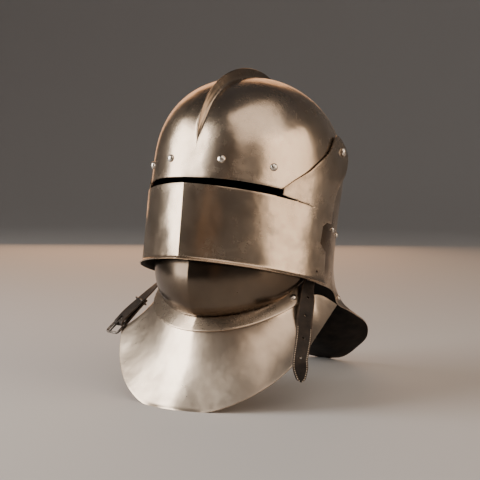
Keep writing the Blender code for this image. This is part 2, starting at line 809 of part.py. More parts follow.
def bib_point(share, depth):
    """Point of the bib's outer face: hollow below the throat, then a straight flare."""
    top, seam, bottom = bib_column(share)
    if depth < 0:
        return seam.lerp(top, -depth)
    fall = seam - bottom
    sag = seam - Vector((0.0, 0.0, 0.42 * fall.z)) - Vector((fall.x, fall.y, 0.0)) * 0.16
    return (1 - depth) ** 2 * seam + 2 * (1 - depth) * depth * sag + depth**2 * bottom


def build_bib():
    """Flared bib with a soft keel and two wings, standing on its front edge."""
    shares = [step / 22 for step in range(-22, 23)]
    depths = [-1.0, 0.0, 0.14, 0.28, 0.42, 0.56, 0.7, 0.85, 1.0]
    rows = [[bib_point(share, depth) for share in shares] for depth in depths]
    mesh = plate_from_patches("bevor_bib", [(rows, None)], inside=(0.0, 0.0, 0.03), floor=0.0)
    return add_object("bevor_bib", mesh, steel("bib_steel", PLATE_STEEL, 0.18))


# ---------------------------------------------------------------- straps and buckle


def route_frame(route, share, side):
    """Place, along, outward and across directions at a share of a strap's route."""

    def place(value):
        azimuth, radius, height, _, _, _ = on_curve(route, min(max(value, 0.0), 1.0))
        angle = math.radians(azimuth)
        return Vector((side * radius * math.sin(angle), -radius * math.cos(angle), height))

    _, _, _, half_width, lean, face = on_curve(route, share)
    forward = (place(share + 0.01) - place(share - 0.01)).normalized()
    lean, face = math.radians(lean), math.radians(face)
    level = Vector((side * math.sin(face), -math.cos(face), 0.0))
    outward = level * math.cos(lean) + Vector((0.0, 0.0, math.sin(lean)))
    across = forward.cross(outward).normalized()
    outward = across.cross(forward).normalized()
    return place(share), forward, outward, across, half_width


def leather_band(name, stations, material):
    """Flat strap through stations of (place, outward, across, half width)."""
    outer = []
    for place, outward, across, half_width in stations:
        line = []
        for share in (-1.0, -0.5, 0.0, 0.5, 1.0):
            line.append(place + across * (half_width * share) + outward * (LEATHER / 2))
        outer.append(line)
    form = bmesh.new()
    loops = []
    for row, (_, outward, _, _) in zip(outer, stations):
        under = [point - outward * LEATHER for point in reversed(row)]
        loops.append([form.verts.new(point) for point in row + under])
    for upper, lower in zip(loops, loops[1:]):
        count = len(upper)
        for index in range(count):
            following = (index + 1) % count
            form.faces.new((upper[index], upper[following], lower[following], lower[index]))
    for loop in (loops[0], loops[-1]):
        half = len(loop) // 2
        for index in range(half - 1):
            form.faces.new((loop[index], loop[index + 1], loop[-index - 2], loop[-index - 1]))
    bmesh.ops.recalc_face_normals(form, faces=form.faces)
    mesh = bpy.data.meshes.new(name)
    form.to_mesh(mesh)
    form.free()
    return add_object(name, mesh, material, crease_deg=50.0)


def build_tongue(leather):
    """Strap of the wearer's left: it crosses the wing and hangs free past its edge."""
    stations = []
    for step in range(25):
        place, _, outward, across, half_width = route_frame(TONGUE_ROUTE, step / 24, 1)
        stations.append((place, outward, across, half_width))
    strap = leather_band("strap_tongue", stations, leather)
    for number, share in enumerate(TONGUE_HOLES):
        place, _, outward, _, _ = route_frame(TONGUE_ROUTE, share, 1)
        cut(strap, drill(f"tongue_hole_{number}", place, outward, STRAP_HOLE_RADIUS, 0.004, None))
    return strap


def buckle_frame_axes():
    """Place and axes of the buckle's bar: along the strap, outward and across."""
    place, forward, outward, across, _ = route_frame(BUCKLE_ROUTE, 1.0, -1)
    turn = BAR_RADIUS + GAP + LEATHER / 2
    return place - outward * turn, forward, outward, across


def build_buckle_strap(leather):
    """Strap of the wearer's right: folded round the buckle's bar and back under itself."""
    stations = []
    for step in range(17):
        place, _, outward, across, half_width = route_frame(BUCKLE_ROUTE, step / 16, -1)
        stations.append((place, outward, across, half_width))
    bar, forward, outward, across = buckle_frame_axes()
    turn = BAR_RADIUS + GAP + LEATHER / 2
    for degrees in range(30, 181, 30):
        angle = math.radians(degrees)
        away = outward * math.cos(angle) + forward * math.sin(angle)
        stations.append((bar + away * turn, away, across, STRAP_HALF_WIDTH))
    for step in range(1, 5):
        back = step / 4
        sink = mix(2 * turn, LEATHER + GAP * 2, smooth(back))
        share = 1 - FOLD_BACK_SHARE * back
        place, _, lie, over, _ = route_frame(BUCKLE_ROUTE, share, -1)
        stations.append((place - lie * sink, -lie, over, STRAP_HALF_WIDTH))
    strap = leather_band("strap_buckle", stations, leather)
    corners = []
    for reach in PRONG_SLOT_REACH:
        for side in (-PRONG_SLOT_HALF_WIDTH, PRONG_SLOT_HALF_WIDTH):
            for lift in (-0.008, 0.008):
                corners.append(bar + forward * reach + across * side + outward * lift)
    faces = [[0, 1, 3, 2], [4, 6, 7, 5], [0, 4, 5, 1], [2, 3, 7, 6], [0, 2, 6, 4], [1, 5, 7, 3]]
    cut(strap, cutter("prong_slot", corners, faces, None))
    return strap


def tube(name, points, radius, material, closed, sides=8):
    """Round bar along a line of points, kept upright on its own bends."""
    form = bmesh.new()
    count = len(points)
    rings = []
    before = None
    for index, point in enumerate(points):
        if closed:
            run = points[(index + 1) % count] - points[index - 1]
        else:
            run = points[min(index + 1, count - 1)] - points[max(index - 1, 0)]
        run.normalize()
        first = (before - run * before.dot(run)).normalized() if before else run.orthogonal().normalized()
        before = first
        second = run.cross(first)
        ring = []
        for side in range(sides):
            angle = 2 * math.pi * side / sides
            spoke = first * math.cos(angle) + second * math.sin(angle)
            ring.append(form.verts.new(point + spoke * radius))
        rings.append(ring)
    pairs = list(zip(rings, rings[1:]))
    if closed:
        last, start = rings[-1], rings[0]
        shift = min(range(sides), key=lambda k: (last[0].co - start[k].co).length)
        pairs.append((last, start[shift:] + start[:shift]))
    else:
        form.faces.new(rings[0])
        form.faces.new(rings[-1])
    for upper, lower in pairs:
        for side in range(sides):
            following = (side + 1) % sides
            form.faces.new((upper[side], upper[following], lower[following], lower[side]))
    bmesh.ops.recalc_face_normals(form, faces=form.faces)
    mesh = bpy.data.meshes.new(name)
    form.to_mesh(mesh)
    form.free()
    return add_object(name, mesh, material, crease_deg=60.0)


def rounded_loop(place, side_axis, long_axis, half_width, near, far, corner, steps=3):
    """Closed outline of a rounded rectangle between two distances along its long axis."""
    points = []
    middles = (
        (half_width - corner, far - corner, 0),
        (-half_width + corner, far - corner, 90),
        (-half_width + corner, near + corner, 180),
        (half_width - corner, near + corner, 270),
    )
    for across, ahead, start in middles:
        for step in range(steps + 1):
            angle = math.radians(start + 90 * step / steps)
            reach_side = across + corner * math.cos(angle)
            reach_long = ahead + corner * math.sin(angle)
            points.append(place + side_axis * reach_side + long_axis * reach_long)
    return points


def build_buckle(iron):
    """Buckle: a wire frame whose bar the strap folds round, its prong and the keeper."""
    bar, forward, outward, across = buckle_frame_axes()
    outline = rounded_loop(bar, across, forward, BUCKLE_HALF_WIDTH, 0.0, BUCKLE_LENGTH, BUCKLE_CORNER)
    tube("buckle_frame", outline, BAR_RADIUS, iron, closed=True)
    hook = BAR_RADIUS + PRONG_RADIUS + GAP
    prong = []
    for degrees in range(-210, 1, 30):
        angle = math.radians(degrees)
        prong.append(bar + (outward * math.cos(angle) + forward * math.sin(angle)) * hook)
    prong.append(bar + outward * hook + forward * (BUCKLE_LENGTH * 0.5))
    prong.append(bar + outward * hook + forward * (BUCKLE_LENGTH + PRONG_PAST_FRAME))
    tube("buckle_prong", prong, PRONG_RADIUS, iron, closed=False, sides=8)
    place, _, lie, over, _ = route_frame(BUCKLE_ROUTE, KEEPER_SHARE, -1)
    height, width = KEEPER_HALF_HEIGHT, STRAP_HALF_WIDTH + KEEPER_CORNER
    middle = place - lie * KEEPER_SINK
    loop = rounded_loop(middle, over, lie, width, -height, height, KEEPER_CORNER)
    tube("buckle_keeper", loop, KEEPER_RADIUS, iron, closed=True, sides=8)


# ---------------------------------------------------------------- assembly


rivet_steel = steel("rivet_steel", (0.78, 0.76, 0.73), 0.22)
strap_leather = metal_or_leather("strap_leather", (0.045, 0.028, 0.020), 0.62, 0.0)
buckle_iron = metal_or_leather("buckle_iron", (0.10, 0.095, 0.09), 0.38, 1.0)

helmet = empty("helmet_frame", HELMET_PLACE, -HELMET_TILT)
hinge = empty("visor_hinge", (0.0, PIVOT_Y, PIVOT_HEIGHT), 0.0, helmet)
skull = build_skull(helmet)
visor = build_visor(hinge)
bowl = build_bowl()
lame = build_lame()
bib = build_bib()
build_tongue(strap_leather)
build_buckle_strap(strap_leather)
build_buckle(buckle_iron)

slit_outline = [(y - PIVOT_Y, z - PIVOT_HEIGHT) for y, z in SIGHT_SLIT]
notch_outline = [(y - PIVOT_Y, z - PIVOT_HEIGHT) for y, z in CATCH_NOTCH]
lock_y, lock_height = LOCK_HOLE
for word, side in (("left", 1), ("right", -1)):
    near, far = sorted((side * 0.075, side * 0.13))
    cut(visor, prism(f"sight_slit_{word}", slit_outline, near, far, hinge))
    cut(visor, prism(f"catch_notch_{word}", notch_outline, near, far, hinge))
    lock_place = (side * 0.109, lock_y - PIVOT_Y, lock_height - PIVOT_HEIGHT)
    cut(visor, drill(f"lock_hole_{word}", lock_place, (1, 0, 0), LOCK_HOLE_RADIUS, 0.012, hinge))
    pivot_place = (side * 0.104, 0.0, 0.0)
    cut(visor, drill(f"pivot_hole_{word}", pivot_place, (1, 0, 0), PIVOT_HOLE_RADIUS, 0.012, hinge))


def place_rivets(word, side):
    """Rivets of one side of the helmet and the bevor."""

    def mirrored(vector):
        return Vector((side * vector.x, vector.y, vector.z))

    def on_dome(azimuth, height):
        point = skull_point(azimuth, height, 1)
        normal = surface_normal(lambda a, h: skull_point(a, h, 1), azimuth, height, 1.0, 0.001)
        return mirrored(point), mirrored(normal)

    def on_wall(azimuth, share):
        point = wall_point(azimuth, share, 1)
        normal = surface_normal(lambda a, t: wall_point(a, t, 1), azimuth, share, 1.0, 0.01)
        return mirrored(point), mirrored(normal)

    for number, azimuth in enumerate(BROW_RIVET_AZIMUTHS, 1):
        place, normal = on_dome(azimuth, BROW_RIVET_HEIGHT)
        rivet(f"brow_rivet_{word}_{number}", place, normal, BROW_HEAD, rivet_steel, helmet, [skull])
    for number, azimuth in enumerate(SIDE_RIVET_AZIMUTHS, 1):
        place, normal = on_wall(azimuth, SIDE_RIVET_SHARE)
        rivet(f"side_rivet_{word}_{number}", place, normal, SMALL_HEAD, rivet_steel, helmet, [skull])
    place, normal = on_wall(*TAIL_RIVET)
    place += normal * TAIL_RIVET_SEAT
    grip = PLATE + TAIL_RIVET_SEAT
    rivet(f"tail_rivet_{word}", place, normal, SMALL_HEAD, rivet_steel, helmet, [skull], grip)
    place = Vector((side * (PIVOT_SEAT_X + PIVOT_HEAD_LIFT), PIVOT_Y, PIVOT_HEIGHT))
    skin = skull_point(FLAT_ARM_DEG, PIVOT_HEIGHT, 1)
    grip = PIVOT_SEAT_X + PIVOT_HEAD_LIFT - skin.x + PLATE + PIVOT_SLACK
    rivet(f"visor_pivot_{word}", place, (side, 0, 0), PIVOT_HEAD, rivet_steel, helmet, [skull], grip)
    seat = lame_point(side * LAME_RIVET_DEG, LAME_RIVET_RISE)
    normal = surface_normal(lame_point, side * LAME_RIVET_DEG, LAME_RIVET_RISE, 1.0, 0.05)
    rivet(f"lame_rivet_{word}", seat, normal, LAME_HEAD, rivet_steel, None, [lame, bib], 2 * PLATE + LAP_GAP)


for word, side in (("left", 1), ("right", -1)):
    place_rivets(word, side)

assembly = empty("assembly", (SHIFT_X, SHIFT_Y, 0.0))
for obj in list(bpy.data.objects):
    if obj.parent is None and obj is not assembly:
        obj.parent = assembly
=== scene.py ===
"""Sallet with its visor and bevor: the finish of each piece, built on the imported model.

Metres, +Z up. The face looks along -Y and the wearer's left side is +X.
"""

import math
from collections import namedtuple

import bmesh
import bpy
import numpy as np
from mathutils import Matrix, Vector
from mathutils.kdtree import KDTree
from mathutils.noise import noise as wander


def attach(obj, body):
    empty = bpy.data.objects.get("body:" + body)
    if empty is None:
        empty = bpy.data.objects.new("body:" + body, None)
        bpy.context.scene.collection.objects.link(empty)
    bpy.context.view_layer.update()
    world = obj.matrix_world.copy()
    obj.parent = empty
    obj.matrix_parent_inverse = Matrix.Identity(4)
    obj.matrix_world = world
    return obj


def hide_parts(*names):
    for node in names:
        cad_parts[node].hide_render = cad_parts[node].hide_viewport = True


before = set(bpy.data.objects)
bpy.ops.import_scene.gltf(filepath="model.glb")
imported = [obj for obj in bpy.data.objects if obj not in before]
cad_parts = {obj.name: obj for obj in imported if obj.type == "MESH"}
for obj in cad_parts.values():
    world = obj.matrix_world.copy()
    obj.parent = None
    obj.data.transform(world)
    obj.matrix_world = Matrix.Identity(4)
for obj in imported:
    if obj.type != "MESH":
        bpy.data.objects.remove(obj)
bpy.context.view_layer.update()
middle = Vector((0.0085, -0.0438, 0.0))

# ------------------------------------------------------------------ table and light
# The helmet stands on a pale matt sweep that turns up into a wall all round. Five soft boxes
# light it: a strong one in front on the wearer's right, one on the left, one high up, a faint
# one in front and one behind.

FLOOR_RADII = (1.0, 3.0)
WALL_BEND = 3.0
WALL_TOP = (6.0, 5.5)
SWEEP_SIDES = 72
TABLE_COLOUR = (0.56, 0.56, 0.57)
TABLE_ROUGHNESS = 0.75
ROOM_COLOUR = (0.050, 0.048, 0.050)
HEART_HEIGHT = 0.2

Lamp = namedtuple("Lamp", "name bearing reach height size power colour")
LAMPS = (
    Lamp("key", -50, 1.9, 0.85, (1.5, 1.7), 60.0, (1.0, 0.94, 0.86)),
    Lamp("warm", 98, 1.9, 0.75, (1.9, 1.3), 19.0, (1.0, 0.78, 0.58)),
    Lamp("high", 62, 1.2, 1.9, (2.2, 2.0), 19.0, (1.0, 0.83, 0.68)),
    Lamp("bronze", 18, 2.6, 0.35, (0.35, 1.5), 0.30, (1.0, 0.55, 0.26)),
    Lamp("rim", -145, 1.9, 0.8, (1.3, 1.4), 11.0, (1.0, 0.54, 0.27)),
)

CAMERA_TURN_DEG = 30.0
CAMERA_DIP = math.atan(86.0 / 1142.0)
CAMERA_ROLL = math.radians(0.6)
CAMERA_REACH = 1.35
CAMERA_HEIGHT = 0.2775
FILM_WIDTH = 36.0
FOCAL_LENGTH = FILM_WIDTH * 1142.0 / 480.0


def turned(first, second, angle):
    """Direction between two square ones, turned by an angle from the first."""
    return first * math.cos(angle) + second * math.sin(angle)


def round_middle(radius, degrees, height):
    """Place round the vertical, in degrees from the front towards the wearer's left."""
    angle = math.radians(degrees)
    return Vector((radius * math.sin(angle), -radius * math.cos(angle), height))


def put(name, data):
    """A new object in the scene."""
    made = bpy.data.objects.new(name, data)
    bpy.context.scene.collection.objects.link(made)
    return made


def feed(tree, node, values):
    """Give inputs of a node numbers, colours or the outputs of other nodes."""
    for key, value in values.items():
        entry = node.inputs[key]
        if isinstance(value, bpy.types.NodeSocket):
            tree.links.new(value, entry)
        else:
            entry.default_value = (*value, 1.0) if entry.type == "RGBA" else value


def join_rings(form, rings):
    """Faces between each ring of corners and the next."""
    for upper, lower in zip(rings, rings[1:]):
        for index in range(len(upper)):
            after = (index + 1) % len(upper)
            form.faces.new((upper[index], upper[after], lower[after], lower[index]))


def mesh_of(name, form):
    """A mesh from loose faces."""
    mesh = bpy.data.meshes.new(name)
    form.to_mesh(mesh)
    form.free()
    return mesh


def new_material(name):
    """A material with its tree and its shader."""
    material = bpy.data.materials.new(name)
    material.use_nodes = True
    return material, material.node_tree, material.node_tree.nodes["Principled BSDF"]


profile = [(radius, 0.0) for radius in FLOOR_RADII]
for turn in np.radians(np.arange(10, 91, 10)):
    profile.append((FLOOR_RADII[-1] + WALL_BEND * math.sin(turn), WALL_BEND * (1 - math.cos(turn))))
sweep = bmesh.new()
rings = []
for radius, height in profile + [WALL_TOP]:
    turns = [2 * math.pi * side / SWEEP_SIDES for side in range(SWEEP_SIDES)]
    corners = [(radius * math.cos(turn), radius * math.sin(turn), height) for turn in turns]
    rings.append([sweep.verts.new(corner) for corner in corners])
sweep.faces.new(rings[0])
join_rings(sweep, rings[::-1])
table_mesh = mesh_of("table", sweep)
table_mesh.shade_smooth()
table = put("table", table_mesh)
table_paint, table_tree, table_shader = new_material("pale table")
feed(table_tree, table_shader, {"Base Color": TABLE_COLOUR, "Roughness": TABLE_ROUGHNESS})
table_mesh.materials.append(table_paint)

room = bpy.data.worlds.new("studio")
room.use_nodes = True
feed(room.node_tree, room.node_tree.nodes["Background"], {"Color": ROOM_COLOUR, "Strength": 1.0})
bpy.context.scene.world = room

heart = middle + Vector((0.0, 0.0, HEART_HEIGHT))
for lamp in LAMPS:
    light = bpy.data.lights.new(lamp.name, "AREA")
    light.shape = "RECTANGLE"
    light.size, light.size_y = lamp.size
    light.energy = lamp.power
    light.color = lamp.colour
    stand = put(lamp.name, light)
    stand.location = middle + round_middle(lamp.reach, lamp.bearing, lamp.height)
    stand.rotation_euler = (heart - stand.location).to_track_quat("-Z", "Y").to_euler()

away = round_middle(1.0, CAMERA_TURN_DEG, 0.0)
level = round_middle(1.0, CAMERA_TURN_DEG + 90.0, 0.0)
sight_line = turned(-away, Vector((0.0, 0.0, -1.0)), CAMERA_DIP)
upright = level.cross(sight_line)
lens = bpy.data.cameras.new("camera")
lens.sensor_width = FILM_WIDTH
lens.lens = FOCAL_LENGTH
camera = put("camera", lens)
camera_right, camera_up = turned(level, upright, CAMERA_ROLL), turned(upright, -level, CAMERA_ROLL)
camera_axes = Matrix((camera_right, camera_up, -sight_line)).transposed()
camera_place = middle + away * CAMERA_REACH + Vector((0.0, 0.0, CAMERA_HEIGHT))
camera.matrix_world = Matrix.Translation(camera_place) @ camera_axes.to_4x4()
bpy.context.scene.camera = camera

# ------------------------------------------------------------------ skull
# The skull is one sheet of steel raised over a stake: a deep dome, a low comb pinched up along
# the middle, straight brow and sides, and a flared tail. It was hammered smooth and polished.

PLATE = 0.0016
SKULL_HALF_WIDTH = 0.107
SKULL_FRONT = 0.1285
SKULL_BACK = 0.119
WIDEST_HEIGHT = 0.1156
DOME_RISE = 0.1177
DOME_SHOULDER = 2.394
DOME_ROUND = 1.839
WALL_NARROWING = 0.004
BROW_HEIGHT = 0.087
BROW_END_DEG = 60.0
RIM_HEIGHT = -0.0045
NAPE_DROP = 0.88
TAIL_REACH = 0.55
TAIL_RISE = 0.08
RIM_CROWDING = 1.5
COMB_BASE = 0.0095
RIM_SPREAD = 0.0014
RIM_SPREAD_FROM_DEG = 170.0
COMB_HALF_WIDTH = 0.0048
COMB_TOP_HALF_WIDTH = 0.0009
COMB_BLUNT = 0.88
COMB_THINNEST = 0.25
COMB_FULL_LIFT = 0.007
BROW_CORNER_DEG = 22.0
WELD = 0.00002
FULLY_RAISED = 0.004
SKULL_STEP_DEG = 2.5
WALL_LEVELS = 44
SKULL_STAIN_REACH = 0.016

Comb = namedtuple("Comb", "height lift")
Rim = namedtuple("Rim", "back half_width height")
Edge = namedtuple("Edge", "azimuth radius height")
Outline = namedtuple("Outline", "azimuth height")
Corner = namedtuple("Corner", "back height")
Step = namedtuple("Step", "azimuth radius height half_width lean face")

COMB_FRONT = (
    Comb(0.1300, 0.0),
    Comb(0.1430, 0.0035),
    Comb(0.1640, 0.0070),
    Comb(0.2100, 0.0105),
    Comb(0.2333, 0.0120),
)
COMB_REAR = (
    Comb(-0.0760, 0.0010),
    Comb(0.0200, 0.0025),
    Comb(0.0870, 0.0050),
    Comb(0.1640, 0.0090),
    Comb(0.2333, 0.0120),
)
TAIL_RIM = (
    Rim(0.005, 0.1040, -0.0050),
    Rim(0.055, 0.1000, -0.0060),
    Rim(0.100, 0.0905, -0.0185),
    Rim(0.145, 0.0885, -0.0210),
    Rim(0.185, 0.0890, -0.0280),
    Rim(0.215, 0.0810, -0.0410),
    Rim(0.240, 0.0570, -0.0575),
    Rim(0.256, 0.0290, -0.0720),
    Rim(0.264, 0.0000, -0.0745),
)

HELMET_TILT_DEG = 13.8
HELMET_PLACE = Vector((0.0, -0.0042, 0.1368))
helmet_frame = Matrix.Translation(middle + HELMET_PLACE) @ Matrix.Rotation(-math.radians(HELMET_TILT_DEG), 4, "X")


def smooth(value):
    """Ease from 0 to 1."""
    value = min(max(value, 0.0), 1.0)
    return value * value * (3 - 2 * value)


def mix(start, end, share):
    """Straight blend of two values."""
    return start + (end - start) * share


def smooth_between(keys, values, slopes, key):
    """Value at a key on the smooth curve through values with given slopes."""
    index = min(int(np.searchsorted(keys, key, side="right")) - 1, len(keys) - 2)
    span = keys[index + 1] - keys[index]
    t = (key - keys[index]) / span
    return (
        (2 * t**3 - 3 * t**2 + 1) * values[index]
        + (t**3 - 2 * t**2 + t) * slopes[index] * span
        + (3 * t**2 - 2 * t**3) * values[index + 1]
        + (t**3 - t**2) * slopes[index + 1] * span
    )


def along(rows, key, column, value, flat_start=False):
    """Read a column of a table at a value of its key, on a smooth curve through the rows."""
    keys = [getattr(row, key) for row in rows]
    data = [getattr(row, column) for row in rows]
    slopes = list(np.gradient(data, keys))
    if flat_start:
        slopes[0] = 0.0
    return smooth_between(keys, data, slopes, min(max(value, keys[0]), keys[-1]))


def on_curve(rows, share):
    """Point at a share of the length of the smooth curve through a table's rows."""
    points = np.array([list(row) for row in rows], dtype=float)
    steps = np.linalg.norm(np.diff(points / np.ptp(points, axis=0).clip(1e-9), axis=0), axis=1)
    keys = np.concatenate([[0.0], np.cumsum(steps)]) / steps.sum()
    return smooth_between(keys, points, np.gradient(points, keys, axis=0), share)


def mirrored(point, side):
    """The same point or direction on one side (1) or the other (-1)."""
    return Vector((side * point.x, point.y, point.z))


def dome_share(height):
    """How much of its full plan the dome keeps at a height."""
    rise = (height - WIDEST_HEIGHT) / DOME_RISE
    if rise <= 0:
        return 1.0
    return max(1 - min(rise, 1.0) ** DOME_SHOULDER, 0.0) ** (1 / DOME_ROUND)


def skull_half_width(height):
    """Half width of the skull at a height; the walls draw in a little below the widest place."""
    if height >= WIDEST_HEIGHT:
        return SKULL_HALF_WIDTH * dome_share(height)
    return SKULL_HALF_WIDTH - WALL_NARROWING * (WIDEST_HEIGHT - height) / WIDEST_HEIGHT


def skull_point(azimuth, height, side):
    """Point of the skull's outer face; the middle strip of the comb keeps its own width."""
    angle = math.radians(azimuth)
    share = dome_share(height)
    wide = skull_half_width(height) - COMB_BASE * share
    reach = SKULL_FRONT if azimuth < 90 else SKULL_BACK
    return Vector((side * (COMB_BASE + wide * math.sin(angle)), -reach * share * math.cos(angle), height))


def lower_edge(azimuth):
    """Lower edge of the skull below the brow line, for an azimuth from the brow's end to the back."""
    if azimuth <= 90:
        drop = smooth((azimuth - BROW_END_DEG) / BROW_CORNER_DEG)
        return skull_point(azimuth, mix(BROW_HEIGHT, RIM_HEIGHT, drop), 1)
    back, half_width, height = on_curve(TAIL_RIM, ((azimuth - 90) / 90) ** RIM_CROWDING)
    return Vector((max(half_width, 0.0), back, height))


def wall_point(azimuth, share, side):
    """Point of the skull's lower wall, which runs from the brow line to the rim and the tail."""
    top = skull_point(azimuth, BROW_HEIGHT, 1)
    rim = lower_edge(azimuth)
    if azimuth > RIM_SPREAD_FROM_DEG:
        rim.x = max(rim.x, COMB_BASE + RIM_SPREAD * (180 - azimuth))
    drop = top - rim
    leave = top - Vector((0.0, 0.0, NAPE_DROP * drop.z))
    arrive = rim + Vector((TAIL_REACH * drop.x, TAIL_REACH * drop.y, TAIL_RISE * drop.z))
    point = (
        (1 - share) ** 3 * top
        + 3 * (1 - share) ** 2 * share * leave
        + 3 * (1 - share) * share**2 * arrive
        + share**3 * rim
    )
    return mirrored(point, side)


def comb_strip(spine, normals, lifts, front_count):
    """Middle strip of the skull: a raised fin between two flat margins, blunt towards the tail."""
    points, raised = [], []
    for index, ((y, z), normal, lift) in enumerate(zip(spine, normals, lifts)):
        least = COMB_BLUNT if index >= front_count else 0.0
        narrow = min(1.0, max(least, COMB_THINNEST + lift / COMB_FULL_LIFT))
        half = (
            (COMB_BASE, 0.0),
            (COMB_HALF_WIDTH * mix(narrow, 1.9, 0.4), 0.0),
            (COMB_HALF_WIDTH * narrow, 0.02),
            (COMB_HALF_WIDTH * narrow * 0.80, 0.12),
            (COMB_HALF_WIDTH * 0.60 * narrow, 0.30),
            (COMB_HALF_WIDTH * 0.42 * narrow, 0.50),
            (COMB_HALF_WIDTH * 0.30 * narrow, 0.72),
            (COMB_TOP_HALF_WIDTH * narrow * 1.15, 0.90),
            (COMB_TOP_HALF_WIDTH * narrow * 0.75, 0.97),
            (0.0, 1.0),
        )
        row = [(-x, share) for x, share in half] + [(x, share) for x, share in reversed(half[:-1])]
        points.append([(x, y, z) for x, _ in row])
        raised.append([normal * (lift * share) for _, share in row])
    return points, raised


def spine_normals(spine):
    """Outward normals of a middle line in the plane x = 0."""
    run = np.gradient(np.array(spine), axis=0)
    normals = []
    for dy, dz in run:
        length = math.hypot(dy, dz)
        normals.append(Vector((0.0, -dz / length, dy / length)))
    return normals


def plate_mesh(name, patches, inside, thickness=PLATE, floor=None):
    """Weld grids of outer points into one sheet and give it thickness towards the inside.

    Returns the mesh, whose inner faces know that they are within, and the sheet's edge points.
    """
    sheet = bmesh.new()
    lift_layer = sheet.verts.layers.float_vector.new("lift")
    for points, lifts in patches:
        rows, columns = len(points), len(points[0])
        verts = []
        for row in range(rows):
            for column in range(columns):
                vert = sheet.verts.new(points[row][column])
                vert[lift_layer] = Vector(lifts[row][column]) if lifts else Vector()
                verts.append(vert)
        for row in range(rows - 1):
            for column in range(columns - 1):
                corner = row * columns + column
                quad = (corner, corner + 1, corner + columns + 1, corner + columns)
                sheet.faces.new([verts[index] for index in quad])
    bmesh.ops.remove_doubles(sheet, verts=sheet.verts, dist=WELD)
    bmesh.ops.recalc_face_normals(sheet, faces=sheet.faces)
    sheet.normal_update()
    outward = sum(face.normal.dot(face.calc_center_median() - Vector(inside)) for face in sheet.faces)
    if outward < 0:
        bmesh.ops.reverse_faces(sheet, faces=sheet.faces)
        sheet.normal_update()
    sheet.verts.index_update()
    count = len(sheet.verts)
    outer = [vert.co + vert[lift_layer] for vert in sheet.verts]
    # How far each outer point is lifted into the comb: the weight of the comb's painted shade.
    raised = [min(vert[lift_layer].length / FULLY_RAISED, 1.0) for vert in sheet.verts] + [0.0] * count
    inner = [vert.co - vert.normal * thickness for vert in sheet.verts]
    corners = outer + inner
    if floor is not None:
        corners = [Vector((co.x, co.y, max(co.z, floor))) for co in corners]
    faces = [[vert.index for vert in face.verts] for face in sheet.faces]
    count_faces = len(faces)
    faces += [[index + count for index in reversed(face)] for face in faces]
    edge_points = []
    for edge in sheet.edges:
        if edge.is_boundary:
            loop = edge.link_loops[0]
            start, end = loop.vert.index, loop.link_loop_next.vert.index
            faces.append([end, start, start + count, end + count])
            edge_points.append((outer[start] + outer[end]) / 2)
    sheet.free()
    mesh = bpy.data.meshes.new(name)
    mesh.from_pydata([tuple(co) for co in corners], [], faces)
    within = [0.0] * count_faces + [1.0] * count_faces + [0.0] * (len(faces) - 2 * count_faces)
    mesh.attributes.new("within", "FLOAT", "FACE").data.foreach_set("value", within)
    mesh.attributes.new("raised", "FLOAT", "POINT").data.foreach_set("value", raised)
    mesh.validate()
    return mesh, edge_points


def worked(draft):
    """A draft's mesh with its modifiers worked in."""
    bpy.context.view_layer.update()
    return bpy.data.meshes.new_from_object(draft.evaluated_get(bpy.context.evaluated_depsgraph_get()))


def finished(draft, name, crease_deg=40.0):
    """Turn a draft into a plain smooth piece at the origin."""
    mesh = worked(draft)
    mesh.transform(draft.matrix_world)
    mesh.name = name
    mesh.shade_smooth()
    mesh.set_sharp_from_angle(angle=math.radians(crease_deg))
    piece = put(name, mesh)
    bpy.data.objects.remove(draft, do_unlink=True)
    return piece


def hand_over(piece, material, body, slot, *nodes):
    """Give a finished piece its material and its body, and hide the model's nodes that it stands for. The slot is
    not used.
    """
    if material:
        piece.data.materials.clear()
        piece.data.materials.append(material)
    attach(piece, body)
    if nodes:
        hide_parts(*nodes)


def round_edges(draft, width=0.00035):
    """Break the sharp edges of a plate, as a file and polish leave them."""
    bevel = draft.modifiers.new("broken edge", "BEVEL")
    bevel.width = width
    bevel.segments = 2
    bevel.limit_method = "ANGLE"
    bevel.angle_limit = math.radians(50.0)
    bevel.harden_normals = False


def mark_edges(piece, edge_points, reach):
    """Store how near each point is to an edge: 1 on it, 0 beyond the reach."""
    tree = KDTree(len(edge_points))
    for index, point in enumerate(edge_points):
        tree.insert(point, index)
    tree.balance()
    near = [max(0.0, 1 - tree.find(vert.co)[2] / reach) for vert in piece.data.vertices]
    piece.data.attributes.new("edge_near", "FLOAT", "POINT").data.foreach_set("value", near)


def add_node(tree, kind, values=None, **settings):
    """A node with its settings and what its inputs are given."""
    node = tree.nodes.new(kind)
    for key, value in settings.items():
        setattr(node, key, value)
    feed(tree, node, values or {})
    return node


def on_piece(tree):
    """Place on the piece."""
    return add_node(tree, "ShaderNodeTexCoord").outputs["Object"]


def stored(tree, name, output="Fac"):
    """What is stored on the piece under a name."""
    return add_node(tree, "ShaderNodeAttribute", attribute_name=name).outputs[output]


def noise(tree, place, scale, detail=3.0, rough=0.5, stretch=(1.0, 1.0, 1.0), turn=(0.0, 0.0, 0.0)):
    """Noise over the piece, stretched and turned as asked."""
    mapping = add_node(tree, "ShaderNodeMapping", {"Vector": place, "Scale": stretch, "Rotation": turn})
    values = {"Vector": mapping.outputs["Vector"], "Scale": scale, "Detail": detail, "Roughness": rough}
    return add_node(tree, "ShaderNodeTexNoise", values).outputs["Fac"]


def ramp(tree, value, stops):
    """Grey or colour by value."""
    node = add_node(tree, "ShaderNodeValToRGB", {"Fac": value})
    elements = node.color_ramp.elements
    while len(elements) < len(stops):
        elements.new(0.5)
    for element, (position, colour) in zip(elements, stops):
        element.position = position
        element.color = (*colour, 1.0) if hasattr(colour, "__len__") else (colour, colour, colour, 1.0)
    return node.outputs["Color"]


